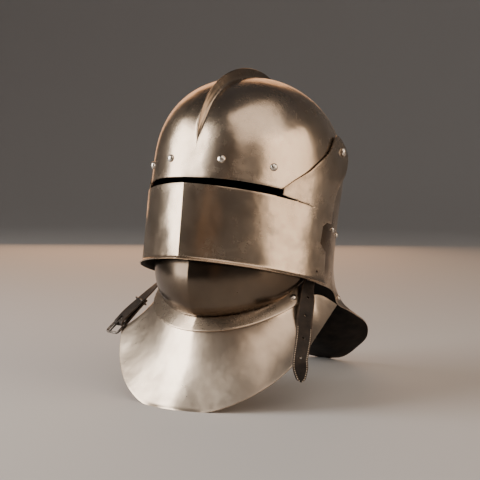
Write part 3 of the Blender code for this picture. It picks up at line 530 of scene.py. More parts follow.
def maths(tree, operation, first, second):
    """The result of two sockets or numbers."""
    return add_node(tree, "ShaderNodeMath", {0: first, 1: second}, operation=operation).outputs["Value"]


def times(tree, first, second):
    """Product of two sockets or numbers."""
    return maths(tree, "MULTIPLY", first, second)


def plus(tree, first, *others):
    """Sum of sockets and numbers."""
    for other in others:
        first = maths(tree, "ADD", first, other)
    return first


def blend_colour(tree, share, first, second):
    """Mix two colours, each a socket or a value."""
    values = {"Factor": share, "A": first, "B": second}
    return add_node(tree, "ShaderNodeMix", values, data_type="RGBA").outputs["Result"]


def bump(tree, height, distance, before=None, strength=1.0):
    """Relief of a height in metres, on top of another relief where one is given."""
    values = {"Height": height, "Distance": distance, "Strength": strength}
    if before is not None:
        values["Normal"] = before
    return add_node(tree, "ShaderNodeBump", values).outputs["Normal"]


STAIN_COLOUR = (0.20, 0.125, 0.075)
# Colour of the painted shade on the comb and behind the visor.
PAINTED_SHADE_COLOUR = (0.13, 0.088, 0.056)
INSIDE_BLACK = ((0.40, (0.007, 0.006, 0.006)), (0.66, (0.022, 0.017, 0.014)))
SPOTS = ((0.46, 0.0), (0.86, 1.0))
EDGE_SPOTS = ((0.34, 0.0), (0.80, 1.0))
HAMMER_WAVE = 0.0016
HAMMER_DENT = 0.00016
POLISH_LINE = 0.000012


def polished_steel(name, bright, shade, rough, wave, seed):
    """Hand-finished plate: slow hammer waves, fine polish lines, brown stain near the edges, and painted shade in
    dark brown on the raised comb and behind the visor.

    The inner face is made near black, rougher and less metallic.
    """
    material, tree, shader = new_material(name)
    within, painted_shade, edge = stored(tree, "within"), stored(tree, "raised"), stored(tree, "edge_near")
    shift = (seed * 0.37, seed * 0.61, seed * 0.23)
    place = add_node(tree, "ShaderNodeMapping", {"Vector": on_piece(tree), "Location": shift}).outputs["Vector"]

    tint = ramp(tree, noise(tree, place, 9.0, 4.0, 0.55), ((0.34, shade), (0.66, bright)))
    mottle = noise(tree, place, 60.0, 4.0, 0.55)
    edge_stain = times(tree, maths(tree, "POWER", edge, 2.0), ramp(tree, mottle, EDGE_SPOTS))
    stain = plus(tree, times(tree, ramp(tree, mottle, SPOTS), 0.20), times(tree, edge_stain, 0.42))
    colour = blend_colour(tree, stain, tint, STAIN_COLOUR)
    # Painted shade: the raised comb and the skull behind the visor are blended towards dark brown.
    colour = blend_colour(tree, times(tree, painted_shade, 0.62), colour, PAINTED_SHADE_COLOUR)

    lines = noise(tree, place, 260.0, 3.0, 0.6, stretch=(1.0, 1.0, 0.07), turn=(0.5, 0.35, 0.2))
    cross = noise(tree, place, 300.0, 3.0, 0.6, stretch=(0.08, 1.0, 1.0), turn=(0.3, -0.5, 0.7))
    fine = times(tree, plus(tree, lines, cross), 0.5)
    haze = times(tree, noise(tree, place, 22.0, 5.0, 0.6), 0.16)
    wear = plus(tree, haze, times(tree, fine, 0.10), rough - 0.13)
    slow = bump(tree, noise(tree, place, 17.0, 1.5, 0.4), HAMMER_WAVE * wave)
    dents = bump(tree, noise(tree, place, 75.0, 1.0, 0.4), HAMMER_DENT * wave, slow)
    finish = {
        "Metallic": maths(tree, "SUBTRACT", 1.0, times(tree, within, 0.7)),
        "Specular IOR Level": maths(tree, "SUBTRACT", 0.5, times(tree, within, 0.4)),
        "Base Color": blend_colour(tree, within, colour, ramp(tree, mottle, INSIDE_BLACK)),
        "Roughness": plus(tree, wear, times(tree, stain, 0.30), times(tree, within, 0.34)),
        "Normal": bump(tree, fine, POLISH_LINE, dents),
    }
    feed(tree, shader, finish)
    return material


# Painted shade on the skull behind the visor's rear edge and under its catch notch.
SEAT_AZIMUTH = 91.0
SEAT_HEIGHT = 0.034
SEAT_SPREAD_DEG = 24.0
SEAT_SPREAD = 0.066
SEAT_DARK = 1.5
SEAT_FILL = 1.6
SEAT_CLOUDS = ((0.35, 55.0), (0.20, 130.0))


def paint_seat_shadow(piece):
    """Paint a cloudy shadow on the skull where the rear edge of the visor lies on it: painted shade, added to the
    weight of the comb's painted shade.
    """
    layer = piece.data.attributes["raised"]
    values = np.empty(len(piece.data.vertices), dtype=np.float32)
    layer.data.foreach_get("value", values)
    to_helmet = helmet_frame.inverted()
    for vertex in piece.data.vertices:
        point = to_helmet @ vertex.co
        azimuth = math.degrees(math.atan2(abs(point.x), -point.y))
        far = math.hypot((azimuth - SEAT_AZIMUTH) / SEAT_SPREAD_DEG, (point.z - SEAT_HEIGHT) / SEAT_SPREAD)
        cloud = SEAT_FILL * (1 - far)
        for share, scale in SEAT_CLOUDS:
            cloud += share * wander(vertex.co * scale)
        values[vertex.index] = max(values[vertex.index], SEAT_DARK * smooth(cloud))
    layer.data.foreach_set("value", values)


WARM_BRIGHT = (0.74, 0.62, 0.50)
WARM_SHADE = (0.53, 0.42, 0.32)

skull_heights = []
for turn in np.radians(np.arange(90, 0, -SKULL_STEP_DEG)):
    skull_heights.append(WIDEST_HEIGHT + DOME_RISE * math.sin(turn) ** (2 / DOME_SHOULDER))
skull_heights += [WIDEST_HEIGHT - (WIDEST_HEIGHT - BROW_HEIGHT) * step / 9 for step in range(10)]
skull_azimuths = [SKULL_STEP_DEG * step for step in range(73)]
wall_azimuths = [azimuth for azimuth in skull_azimuths if azimuth >= BROW_END_DEG]
wall_shares = [step / WALL_LEVELS for step in range(WALL_LEVELS + 1)]
skull_patches = []
for side in (-1, 1):
    skull_patches.append(([[skull_point(a, z, side) for a in skull_azimuths] for z in skull_heights], None))
    skull_patches.append(([[wall_point(a, share, side) for a in wall_azimuths] for share in wall_shares], None))
comb_front = [skull_point(0, z, 1) for z in skull_heights]
comb_back = [skull_point(180, z, 1) for z in skull_heights]
comb_tail = [wall_point(180, share, 1) for share in wall_shares[1:]]
spine = [(p.y, p.z) for p in reversed(comb_front)] + [(p.y, p.z) for p in comb_back[1:] + comb_tail]
comb_lifts = []
for index, (_, z) in enumerate(spine):
    comb_lifts.append(along(COMB_FRONT if index < len(comb_front) else COMB_REAR, "height", "lift", z))
skull_patches.append(comb_strip(spine, spine_normals(spine), comb_lifts, len(comb_front)))
skull_mesh, skull_edges = plate_mesh("skull_draft", skull_patches, inside=(0.0, 0.0, 0.10))
skull_draft = put("skull_draft", skull_mesh)
skull_draft.matrix_world = helmet_frame
round_edges(skull_draft)
skull = finished(skull_draft, "skull_plate")
mark_edges(skull, [helmet_frame @ point for point in skull_edges], SKULL_STAIN_REACH)
# Painted shade behind the visor's rear edge.
paint_seat_shadow(skull)
skull_steel = polished_steel("skull steel", WARM_BRIGHT, WARM_SHADE, 0.25, 1.6, 1.0)
hand_over(skull, skull_steel, "helmet", "skull_steel", "skull")

# ------------------------------------------------------------------ visor
# The visor is a second sheet over the face, keeled in front, with its lower rim turned out. Its
# side plates run up into arms that turn on a pivot at each temple. The sight is the gap above it.

VISOR_RIM_HEIGHT = -0.0045
SIGHT_HEIGHT = 0.0775
SIGHT_END_DEG = 54.5
VISOR_RIM_HALF_WIDTH = 0.1107
VISOR_TOP_HALF_WIDTH = 0.1092
VISOR_RIM_FRONT = 0.119
VISOR_TOP_FRONT = 0.133
VISOR_RIM_KEEL = 0.0143
VISOR_TOP_KEEL = 0.0095
VISOR_STAND_OFF = 0.0036
FLAT_ARM_DEG = 98.0
RIM_LIP = 0.0032
PIVOT_Y = 0.0245
PIVOT_HEIGHT = 0.1545
PIVOT_SEAT_X = 0.1058
PIVOT_SEAT_RADIUS = 0.0065
PIVOT_SEAT_BLEND = 0.0085
PIVOT_HOLE_RADIUS = 0.0029
LOCK_HOLE = (-0.0135, 0.0070)
LOCK_HOLE_RADIUS = 0.0018
LOCK_HOLE_X = 0.109
PIVOT_HOLE_X = 0.104
DRILL_REACH = 0.012
SIDE_CUT_X = (0.075, 0.13)
VISOR_EDGE_BREAK = 0.00030
VISOR_STAIN_REACH = 0.012

Lip = namedtuple("Lip", "rise out")
LIP = (
    Lip(0.0, 1.0),
    Lip(0.0005, 0.90),
    Lip(0.0010, 0.70),
    Lip(0.0015, 0.46),
    Lip(0.0021, 0.26),
    Lip(0.0028, 0.11),
    Lip(0.0038, 0.03),
)
SIDE_PLATE_TOP = (
    Outline(54.5, 0.0880),
    Outline(61.0, 0.1005),
    Outline(68.0, 0.1125),
    Outline(75.5, 0.1280),
    Outline(84.0, 0.1450),
    Outline(91.5, 0.1640),
    Outline(98.0, 0.1725),
    Outline(104.0, 0.1700),
)
VISOR_REAR = (
    Outline(93.0, -0.0045),
    Outline(91.5, 0.0220),
    Outline(91.5, 0.0450),
    Outline(95.0, 0.0650),
    Outline(95.0, 0.0775),
)
ARM_REAR = (
    Outline(95.0, 0.0775),
    Outline(96.0, 0.0940),
    Outline(99.5, 0.1120),
    Outline(106.5, 0.1330),
    Outline(109.5, 0.1530),
    Outline(104.0, 0.1700),
)
CATCH_NOTCH = (
    Corner(0.0300, 0.0670),
    Corner(-0.0015, 0.0650),
    Corner(-0.0110, 0.0590),
    Corner(-0.0130, 0.0390),
    Corner(-0.0007, 0.0320),
    Corner(0.0300, 0.0310),
)
SIGHT_SLIT = (
    Corner(-0.0840, 0.0815),
    Corner(-0.0840, 0.0772),
    Corner(-0.0700, 0.0769),
    Corner(-0.0610, 0.0771),
    Corner(-0.0520, 0.0766),
    Corner(-0.0430, 0.0768),
    Corner(-0.0320, 0.0765),
    Corner(-0.0320, 0.0769),
    Corner(-0.0440, 0.0776),
    Corner(-0.0510, 0.0777),
    Corner(-0.0590, 0.0788),
    Corner(-0.0690, 0.0794),
)


def surface_normal(point_at, u, v, step_u, step_v):
    """Outward normal of a surface from small steps along it."""
    run_u = point_at(u + step_u, v) - point_at(u - step_u, v)
    run_v = point_at(u, v + step_v) - point_at(u, v - step_v)
    normal = run_u.cross(run_v).normalized()
    return normal if normal.dot(point_at(u, v) - Vector((0.0, 0.05, -0.15))) > 0 else -normal


def arm_point(azimuth, height):
    """Point of an arm: a little outside the skull, and flat behind the pivot so that it can turn."""
    skin = skull_point(azimuth, height, 1)
    flat = min(azimuth, FLAT_ARM_DEG)
    skin.x = skull_point(flat, height, 1).x
    normal = surface_normal(lambda a, h: skull_point(a, h, 1), flat, height, 1.0, 0.001)
    out = Vector((normal.x, normal.y, 0.0)).normalized()
    return skin + out * (VISOR_STAND_OFF / max(normal.dot(out), 0.5))


def visor_point(azimuth, height):
    """Point of the visor's outer face: a keeled plate below the sight, then side plates and arms."""
    angle = math.radians(azimuth)
    sine, cosine = math.sin(angle), math.cos(angle)
    rise = min(max((height - VISOR_RIM_HEIGHT) / (SIGHT_HEIGHT - VISOR_RIM_HEIGHT), 0.0), 1.0)
    half_width = mix(VISOR_RIM_HALF_WIDTH, VISOR_TOP_HALF_WIDTH, rise)
    front = mix(VISOR_RIM_FRONT, VISOR_TOP_FRONT, rise)
    keel = mix(VISOR_RIM_KEEL, VISOR_TOP_KEEL, rise) * (1 - abs(sine)) ** 2
    y = -(front * cosine + keel) if cosine >= 0 else -(SKULL_BACK + VISOR_STAND_OFF) * cosine
    plate = Vector((half_width * sine, y, height))
    lean = min(max((height - SIGHT_HEIGHT) / (WIDEST_HEIGHT - SIGHT_HEIGHT), 0.0), 1.0)
    if lean == 0.0:
        return plate
    place = plate.lerp(arm_point(azimuth, height), lean)
    reach = math.hypot(place.y - PIVOT_Y, height - PIVOT_HEIGHT)
    place.x = mix(place.x, PIVOT_SEAT_X, 1 - smooth((reach - PIVOT_SEAT_RADIUS) / PIVOT_SEAT_BLEND))
    return place


def coons(bottom, top, left, right, u, v):
    """Point of the patch spanned by four edges."""
    corners = mix(bottom(0.0), bottom(1.0), u) * (1 - v) + mix(top(0.0), top(1.0), u) * v
    return mix(bottom(u), top(u), v) + mix(left(v), right(v), u) - corners


def visor_rear(height):
    """Azimuth of the visor's rear edge at a height."""
    return along(VISOR_REAR, "height", "azimuth", height)


def visor_row(height, lip_out):
    """One level of the visor from its right rear edge to its left, closer together at the keel."""
    sides = [mix(SIGHT_END_DEG, visor_rear(height), step / 20) for step in range(1, 21)]
    face = [math.copysign(abs(step / 26) ** 1.5, step) * SIGHT_END_DEG for step in range(-26, 27)]
    points = []
    for azimuth in [-a for a in reversed(sides)] + face + sides:
        point = visor_point(azimuth, height)
        out = Vector((point.x, point.y, 0.0)).normalized()
        points.append(point + out * lip_out)
    return points


def cutter(name, near, far):
    """A closed shape between two outlines, which only cuts."""
    form = bmesh.new()
    ends = [[form.verts.new(corner) for corner in outline] for outline in (near, far)]
    join_rings(form, ends)
    for end in ends:
        form.faces.new(end)
    bmesh.ops.recalc_face_normals(form, faces=form.faces)
    return put(name, mesh_of(name, form))


def prism(name, outline, x_from, x_to):
    """Cutter: an outline of (y, z) corners run along X."""
    return cutter(name, *([(x, y, z) for y, z in outline] for x in (x_from, x_to)))


def drill(name, place, direction, radius, depth, count=32):
    """Cutter: a drill through a plate, at right angles to it."""
    turn = Vector(direction).to_track_quat("Z", "Y").to_matrix()
    ends = []
    for end in (-depth, depth):
        angles = [2 * math.pi * (index + 0.1) / count for index in range(count)]
        ring = [Vector((radius * math.cos(angle), radius * math.sin(angle), end)) for angle in angles]
        ends.append([Vector(place) + turn @ point for point in ring])
    return cutter(name, *ends)


def cut_away(draft, tools):
    """Cut the tools' shapes out of a draft and make it a plain mesh again."""
    for tool in tools:
        modifier = draft.modifiers.new("cut", "BOOLEAN")
        modifier.operation = "DIFFERENCE"
        modifier.solver = "EXACT"
        modifier.object = tool
    mesh = worked(draft)
    draft.modifiers.clear()
    draft.data = mesh
    for tool in tools:
        bpy.data.objects.remove(tool, do_unlink=True)


def sharp_points(draft, angle_deg=55.0):
    """Middles of a draft's sharp edges, in the row's frame."""
    form = bmesh.new()
    form.from_mesh(draft.data)
    points = []
    for edge in form.edges:
        if len(edge.link_faces) == 2 and edge.calc_face_angle() > math.radians(angle_deg):
            points.append(draft.matrix_world @ ((edge.verts[0].co + edge.verts[1].co) / 2))
    form.free()
    return points


lower_rows = [visor_row(VISOR_RIM_HEIGHT + turn.rise, RIM_LIP * turn.out) for turn in LIP]
lower_rows += [visor_row(mix(0.001, SIGHT_HEIGHT, step / 30), 0.0) for step in range(31)]
visor_patches = [(lower_rows, None)]
side_edges = (
    lambda u: np.array([mix(SIGHT_END_DEG, visor_rear(SIGHT_HEIGHT), u), SIGHT_HEIGHT]),
    lambda u: on_curve(SIDE_PLATE_TOP, u),
    lambda v: np.array([SIGHT_END_DEG, mix(SIGHT_HEIGHT, SIDE_PLATE_TOP[0].height, v)]),
    lambda v: on_curve(ARM_REAR, v),
)
for side in (-1, 1):
    rows = []
    for level in range(31):
        line = []
        for step in range(21):
            azimuth, height = coons(*side_edges, step / 20, level / 30)
            point = visor_point(float(azimuth), float(height))
            line.append(mirrored(point, side))
        rows.append(line)
    visor_patches.append((rows, None))
visor_mesh, _ = plate_mesh("visor_draft", visor_patches, inside=(0.0, 0.0, 0.04))
visor_draft = put("visor_draft", visor_mesh)
SIDES = (("left", 1), ("right", -1))
visor_tools = []
for word, side in SIDES:
    near, far = sorted(side * x for x in SIDE_CUT_X)
    visor_tools.append(prism(f"sight_slit_{word}", SIGHT_SLIT, near, far))
    visor_tools.append(prism(f"catch_notch_{word}", CATCH_NOTCH, near, far))
    for kind, place, radius in (
        ("lock_hole", (side * LOCK_HOLE_X, *LOCK_HOLE), LOCK_HOLE_RADIUS),
        ("pivot_hole", (side * PIVOT_HOLE_X, PIVOT_Y, PIVOT_HEIGHT), PIVOT_HOLE_RADIUS),
    ):
        visor_tools.append(drill(f"{kind}_{word}", place, (1, 0, 0), radius, DRILL_REACH))
cut_away(visor_draft, visor_tools)
visor_draft.matrix_world = helmet_frame
visor_edges = sharp_points(visor_draft)
round_edges(visor_draft, VISOR_EDGE_BREAK)
visor = finished(visor_draft, "visor_plate")
mark_edges(visor, visor_edges, VISOR_STAIN_REACH)
visor_steel = polished_steel("visor steel", WARM_BRIGHT, WARM_SHADE, 0.24, 2.1, 2.0)
hand_over(visor, visor_steel, "visor", "visor_steel", "visor")

# ------------------------------------------------------------------ bevor bowl
# The chin bowl is raised from one plate, with a keel in front and a full curve below the mouth.
# Its lower edge laps over the throat lame.

LAP_GAP = 0.0006
BOWL_TOP = (
    Edge(0, 0.100, 0.180),
    Edge(30, 0.098, 0.181),
    Edge(60, 0.095, 0.184),
    Edge(100, 0.0925, 0.187),
)
BOWL_EDGE = (
    Edge(0, 0.0880, 0.0963),
    Edge(30, 0.0893, 0.1013),
    Edge(60, 0.0923, 0.1160),
    Edge(85, 0.0930, 0.1370),
    Edge(100, 0.0922, 0.1480),
)
BOWL_KEEL = 0.0098
BOWL_END_DEG = 100.0
BOWL_BULGE = 0.013
BOWL_TOP_KEEL = BOWL_KEEL * 0.8
BULGE_NARROWING = 0.85
BULGE_DROP = 1.3
BULGE_FLATTENING = 0.75
FAN_CROWDING = 1.4
BEVOR_EDGE_BREAK = 0.00032


def edge_point(rows, azimuth, keel, inset=0.0, rise=0.0):
    """Point on an edge of a bevor plate; the keel stands out at the front."""
    bearing = abs(azimuth)
    radius = along(rows, "azimuth", "radius", bearing, flat_start=True) - inset
    radius += keel * (1 - abs(math.sin(math.radians(min(bearing, 90.0))))) ** 2
    height = along(rows, "azimuth", "height", bearing, flat_start=True) + rise
    return round_middle(radius, azimuth, height)


def fanned(end, count):
    """Stations from one end to the other, closer together in the middle."""
    return [math.copysign(abs(step / count) ** FAN_CROWDING, step) * end for step in range(-count, count + 1)]


def bevor_plate(name, rows, inside, floor, slot, node, material, stain_reach=0.006):
    """Give a bevor plate its thickness, broken edges, finish and place."""
    mesh, edges = plate_mesh(name + "_draft", [(rows, None)], inside, floor=floor)
    draft = put(name + "_draft", mesh)
    draft.location = middle
    bpy.context.view_layer.update()
    round_edges(draft, BEVOR_EDGE_BREAK)
    piece = finished(draft, name, 50.0)
    mark_edges(piece, [middle + point for point in edges], stain_reach)
    hand_over(piece, material, "helmet", slot, node)


bowl_rows = []
for level in range(41):
    share = level / 40
    line = []
    for azimuth in fanned(BOWL_END_DEG, 36):
        top = edge_point(BOWL_TOP, azimuth, BOWL_TOP_KEEL)
        edge = edge_point(BOWL_EDGE, azimuth, BOWL_KEEL)
        point = top.lerp(edge, share)
        swell = BOWL_BULGE * math.cos(math.radians(azimuth * BULGE_NARROWING)) ** 2
        swell *= max(math.sin(math.pi * share**BULGE_DROP), 0.0) ** BULGE_FLATTENING
        line.append(point + Vector((point.x, point.y, 0.0)).normalized() * swell)
    bowl_rows.append(line)
# Painted shade: the bowl's steel is given a far darker colour than the other plates.
bowl_steel = polished_steel("bowl steel", (0.19, 0.148, 0.112), (0.11, 0.084, 0.063), 0.21, 1.0, 3.0)
bevor_plate("bowl_plate", bowl_rows, (0.0, 0.0, 0.14), None, "bowl_steel", "bevor_bowl", bowl_steel)

# ------------------------------------------------------------------ throat lame
# A narrow bent strip between the bowl and the bib. It laps under the one and over the other.

LAME_EDGE = (
    Edge(0, 0.1025, 0.0810),
    Edge(30, 0.1025, 0.0867),
    Edge(60, 0.1018, 0.1035),
    Edge(78, 0.1012, 0.1165),
)
LAME_END_DEG = 77.0
BIB_KEEL = 0.0035
PLATE_OVERLAP = 0.007
LAME_SEAT_INSET = 0.0003
LAME_SEAT_RISE = 0.0012
LAME_STAIN_REACH = 0.0022


def lame_point(azimuth, rise):
    """Point of the lame's outer face between its lower edge (0) and the bowl's edge (1)."""
    inset = PLATE + LAP_GAP + LAME_SEAT_INSET
    seat = edge_point(BOWL_EDGE, azimuth, BOWL_KEEL, inset, LAME_SEAT_RISE)
    return edge_point(LAME_EDGE, azimuth, BIB_KEEL).lerp(seat, rise)


lame_rows = []
for azimuth in fanned(LAME_END_DEG, 36):
    inset = PLATE + LAP_GAP + 2 * LAME_SEAT_INSET
    under = edge_point(BOWL_EDGE, azimuth, BOWL_KEEL, inset, PLATE_OVERLAP)
    lapped = [under.lerp(lame_point(azimuth, 1.0), step / 4) for step in range(4)]
    lame_rows.append(lapped + [lame_point(azimuth, 1 - step / 10) for step in range(11)])
lame_steel = polished_steel("lame steel", WARM_BRIGHT, WARM_SHADE, 0.28, 0.9, 4.0)
lame_inside = (0.0, 0.0, 0.14)
bevor_plate("lame_plate", lame_rows, lame_inside, None, "lame_steel", "throat_lame", lame_steel, LAME_STAIN_REACH)

# ------------------------------------------------------------------ bib
# The bib flares over the chest from the throat, with a soft keel and two pointed wings. The whole
# assembly stands on its front edge, which is dressed flat.

BIB_TOP = (
    *LAME_EDGE[:3],
    Edge(75, 0.1015, 0.1145),
    Edge(90, 0.1040, 0.1180),
    Edge(108, 0.1170, 0.1030),
)
BIB_EDGE = (
    Edge(0, 0.1455, -0.0004),
    Edge(15, 0.1450, -0.0002),
    Edge(30, 0.1440, 0.0125),
    Edge(45, 0.1425, 0.0325),
    Edge(63, 0.1405, 0.0680),
)
BIB_OVERLAP = 0.0045
LAP_INSET_TOP = 0.0066
LAP_INSET_SEAM = 0.0030
LAME_RIVET_DEG = 69.0
LAME_RIVET_RISE = 0.53
EAR_SPREAD_DEG = 7.0
EAR_INSET = 0.0075
EAR_RISE = 0.0090
LAP_FADE_DEG = 9.0
WING_FROM = 0.6
WING_CROWDING = 0.9
HOLLOW_DROP = 0.42
HOLLOW_REACH = 0.16


def bib_corner():
    """Upper rear corner of the bib's wing."""
    return edge_point(BIB_TOP, BIB_TOP[-1].azimuth, 0.0)


def bib_column(share):
    """Top and bottom of one column of the bib, from the keel (0) to the wing's corner (1)."""
    sign = -1 if share < 0 else 1
    reach = abs(share)
    top_end = BIB_TOP[-1].azimuth
    bottom_end = BIB_EDGE[-1].azimuth
    top_azimuth = top_end * reach
    lapped = 1 - smooth((top_azimuth - LAME_END_DEG) / LAP_FADE_DEG)
    ear = math.exp(-(((top_azimuth - LAME_RIVET_DEG) / EAR_SPREAD_DEG) ** 2))
    inset = LAP_INSET_TOP * lapped + EAR_INSET * ear
    top = edge_point(BIB_TOP, top_azimuth, BIB_KEEL, inset, BIB_OVERLAP * lapped + EAR_RISE * ear)
    seam = edge_point(BIB_TOP, top_azimuth, BIB_KEEL, LAP_INSET_SEAM * lapped)
    if reach <= WING_FROM:
        bottom = edge_point(BIB_EDGE, bottom_end * reach / WING_FROM, BIB_KEEL * 0.5)
    else:
        low = edge_point(BIB_EDGE, bottom_end, 0.0)
        bottom = low.lerp(bib_corner(), ((reach - WING_FROM) / (1 - WING_FROM)) ** WING_CROWDING)
    return [mirrored(point, sign) for point in (top, seam, bottom)]


def bib_point(share, depth):
    """Point of the bib's outer face: hollow below the throat, then a straight flare."""
    top, seam, bottom = bib_column(share)
    if depth < 0:
        return seam.lerp(top, -depth)
    fall = seam - bottom
    sag = seam - Vector((HOLLOW_REACH * fall.x, HOLLOW_REACH * fall.y, HOLLOW_DROP * fall.z))
    return (1 - depth) ** 2 * seam + 2 * (1 - depth) * depth * sag + depth**2 * bottom


bib_shares = [step / 66 for step in range(-66, 67)]
bib_depths = [-1.0, -0.66, -0.33] + [step / 40 for step in range(41)]
bib_rows = [[bib_point(share, depth) for share in bib_shares] for depth in bib_depths]
bib_steel = polished_steel("bib steel", (0.78, 0.66, 0.54), (0.62, 0.50, 0.39), 0.30, 1.7, 5.0)
bevor_plate("bib_plate", bib_rows, (0.0, 0.0, 0.03), 0.0, "bib_steel", "bevor_bib", bib_steel)

# ------------------------------------------------------------------ rivets
# Domed steel rivets hold the lining at the brow, the sides and the tail, and join the lame to the
# bib. Two larger ones are the visor's pivots. Each is set hot and its inner end is upset.

GAP = 0.0003
FLAT_HEAD_SHARE = 0.12
BROW_HEAD = (0.0045, 0.0030)
SMALL_HEAD = (0.0032, 0.0022)
LAME_HEAD = (0.0042, 0.0026)
PIVOT_HEAD = (0.0052, 0.0030)
BROW_RIVET_HEIGHT = 0.1085
BROW_RIVET_AZIMUTHS = (14.0, 46.0)
SIDE_RIVET_AZIMUTHS = (102.5, 115.5)
SIDE_RIVET_SHARE = 0.117
TAIL_RIVET = (128.0, 0.68)
PIVOT_HEAD_LIFT = 0.0006
PIVOT_SLACK = 0.0036
UPSET = 0.001
SHANK_SHARE = 0.42
UPSET_SHARE = 0.62
UPSET_HEIGHT_SHARE = 0.30


def pressed_ball(tree, wide, high, keep, segments=28, rings=16):
    """A ball scaled to a width and height, its lower side pressed flat: a domed head."""
    ball = add_node(tree, "GeometryNodeMeshUVSphere", {"Segments": segments, "Rings": rings, "Radius": 1.0})
    size = add_node(tree, "ShaderNodeCombineXYZ", {"X": wide, "Y": wide, "Z": high})
    values = {"Geometry": ball.outputs["Mesh"], "Scale": size.outputs["Vector"]}
    scaled = add_node(tree, "GeometryNodeTransform", values)
    where = add_node(tree, "GeometryNodeInputPosition").outputs["Position"]
    parts = add_node(tree, "ShaderNodeSeparateXYZ", {"Vector": where}).outputs
    lifted = maths(tree, "MAXIMUM", parts["Z"], times(tree, high, -keep))
    back = add_node(tree, "ShaderNodeCombineXYZ", {"X": parts["X"], "Y": parts["Y"], "Z": lifted})
    values = {"Geometry": scaled.outputs["Geometry"], "Position": back.outputs["Vector"]}
    return add_node(tree, "GeometryNodeSetPosition", values).outputs["Geometry"]


def moved(tree, geometry, height):
    """Shift along Z."""
    at = add_node(tree, "ShaderNodeCombineXYZ", {"Z": height}).outputs["Vector"]
    return add_node(tree, "GeometryNodeTransform", {"Geometry": geometry, "Translation": at}).outputs["Geometry"]


def rivet_shape(tree, radius, height, grip):
    """A head, a shank through the plates and an upset end inside."""
    head = pressed_ball(tree, radius, height, FLAT_HEAD_SHARE)
    values = {"Vertices": 20, "Radius": times(tree, radius, SHANK_SHARE), "Depth": grip}
    shank = add_node(tree, "GeometryNodeMeshCylinder", values).outputs["Mesh"]
    end = pressed_ball(tree, times(tree, radius, UPSET_SHARE), times(tree, radius, UPSET_HEIGHT_SHARE), 1.0)
    joined = add_node(tree, "GeometryNodeJoinGeometry")
    for part in (head, moved(tree, shank, times(tree, grip, -0.5)), moved(tree, end, times(tree, grip, -1.0))):
        feed(tree, joined, {"Geometry": part})
    return joined.outputs["Geometry"]


def points_tree(name, shape, sizes, material):
    """A tree that sets one shape, made to named sizes, along the outward direction of each point."""
    tree = bpy.data.node_groups.new(name, "GeometryNodeTree")
    tree.interface.new_socket(name="Geometry", in_out="INPUT", socket_type="NodeSocketGeometry")
    for size in sizes:
        tree.interface.new_socket(name=size, in_out="INPUT", socket_type="NodeSocketFloat")
    tree.interface.new_socket(name="Geometry", in_out="OUTPUT", socket_type="NodeSocketGeometry")
    given = add_node(tree, "NodeGroupInput").outputs
    outward = add_node(tree, "GeometryNodeInputNamedAttribute", {"Name": "outward"}, data_type="FLOAT_VECTOR")
    values = {"Vector": outward.outputs["Attribute"]}
    aim = add_node(tree, "FunctionNodeAlignRotationToVector", values, axis="Z")
    values = {
        "Points": given["Geometry"],
        "Instance": shape(tree, *(given[size] for size in sizes)),
        "Rotation": aim.outputs["Rotation"],
    }
    spread = add_node(tree, "GeometryNodeInstanceOnPoints", values).outputs["Instances"]
    solid = add_node(tree, "GeometryNodeRealizeInstances", {"Geometry": spread}).outputs["Geometry"]
    paint = add_node(tree, "GeometryNodeSetMaterial", {"Geometry": solid, "Material": material})
    add_node(tree, "NodeGroupOutput", {"Geometry": paint.outputs["Geometry"]})
    return tree


def spread_on_points(name, points, outward, tree, sizes):
    """Run a tree on points that know their outward direction, and keep the result as a piece."""
    mesh = bpy.data.meshes.new(name)
    mesh.from_pydata([tuple(point) for point in points], [], [])
    flat = [value for direction in outward for value in direction]
    mesh.attributes.new("outward", "FLOAT_VECTOR", "POINT").data.foreach_set("vector", flat)
    bench = put(name + "_points", mesh)
    modifier = bench.modifiers.new(name, "NODES")
    modifier.node_group = tree
    for item in tree.interface.items_tree:
        if item.in_out == "INPUT" and item.name in sizes:
            modifier[item.identifier] = sizes[item.name]
    return finished(bench, name, 45.0)


rivet_steel, rivet_nodes, rivet_shader = new_material("rivet steel")
rivet_place = on_piece(rivet_nodes)
rivet_tints = ((0.38, (0.46, 0.40, 0.34)), (0.60, (0.88, 0.85, 0.80)))
rivet_finish = {
    "Metallic": 1.0,
    "Base Color": ramp(rivet_nodes, noise(rivet_nodes, rivet_place, 420.0, 4.0, 0.6), rivet_tints),
    "Roughness": plus(rivet_nodes, times(rivet_nodes, noise(rivet_nodes, rivet_place, 600.0), 0.22), 0.12),
    "Normal": bump(rivet_nodes, noise(rivet_nodes, rivet_place, 500.0, 2.0), 0.00025),
}
feed(rivet_nodes, rivet_shader, rivet_finish)
RIVET_SIZES = ("Head Radius", "Head Height", "Grip")
rivets_tree = points_tree("rivets", rivet_shape, RIVET_SIZES, rivet_steel)


def on_skull(surface, azimuth, level, step, side):
    """Place and outward direction on the dome or the wall, in the row's frame."""
    normal = surface_normal(lambda a, b: surface(a, b, 1), azimuth, level, 1.0, step)
    return placed(surface(azimuth, level, 1), normal, side)


def placed(point, normal, side):
    """Mirror to a side and set in the tilted helmet."""
    outward = helmet_frame.to_3x3() @ mirrored(normal, side)
    return helmet_frame @ mirrored(point, side), outward.normalized()


def rivet_set(name, seats, head_size, grip, nodes, lift=GAP):
    """One kind of rivet on all its seats."""
    points = [place + outward * lift for place, outward in seats]
    sizes = dict(zip(RIVET_SIZES, (*head_size, grip + lift)))
    piece = spread_on_points(name, points, [outward for _, outward in seats], rivets_tree, sizes)
    hand_over(piece, None, "helmet", "rivet_steel", *nodes)


def paired(stem):
    """Names of a rivet's two nodes on each side."""
    return [f"{stem}_{word}_{number}" for word, _ in SIDES for number in (1, 2)]


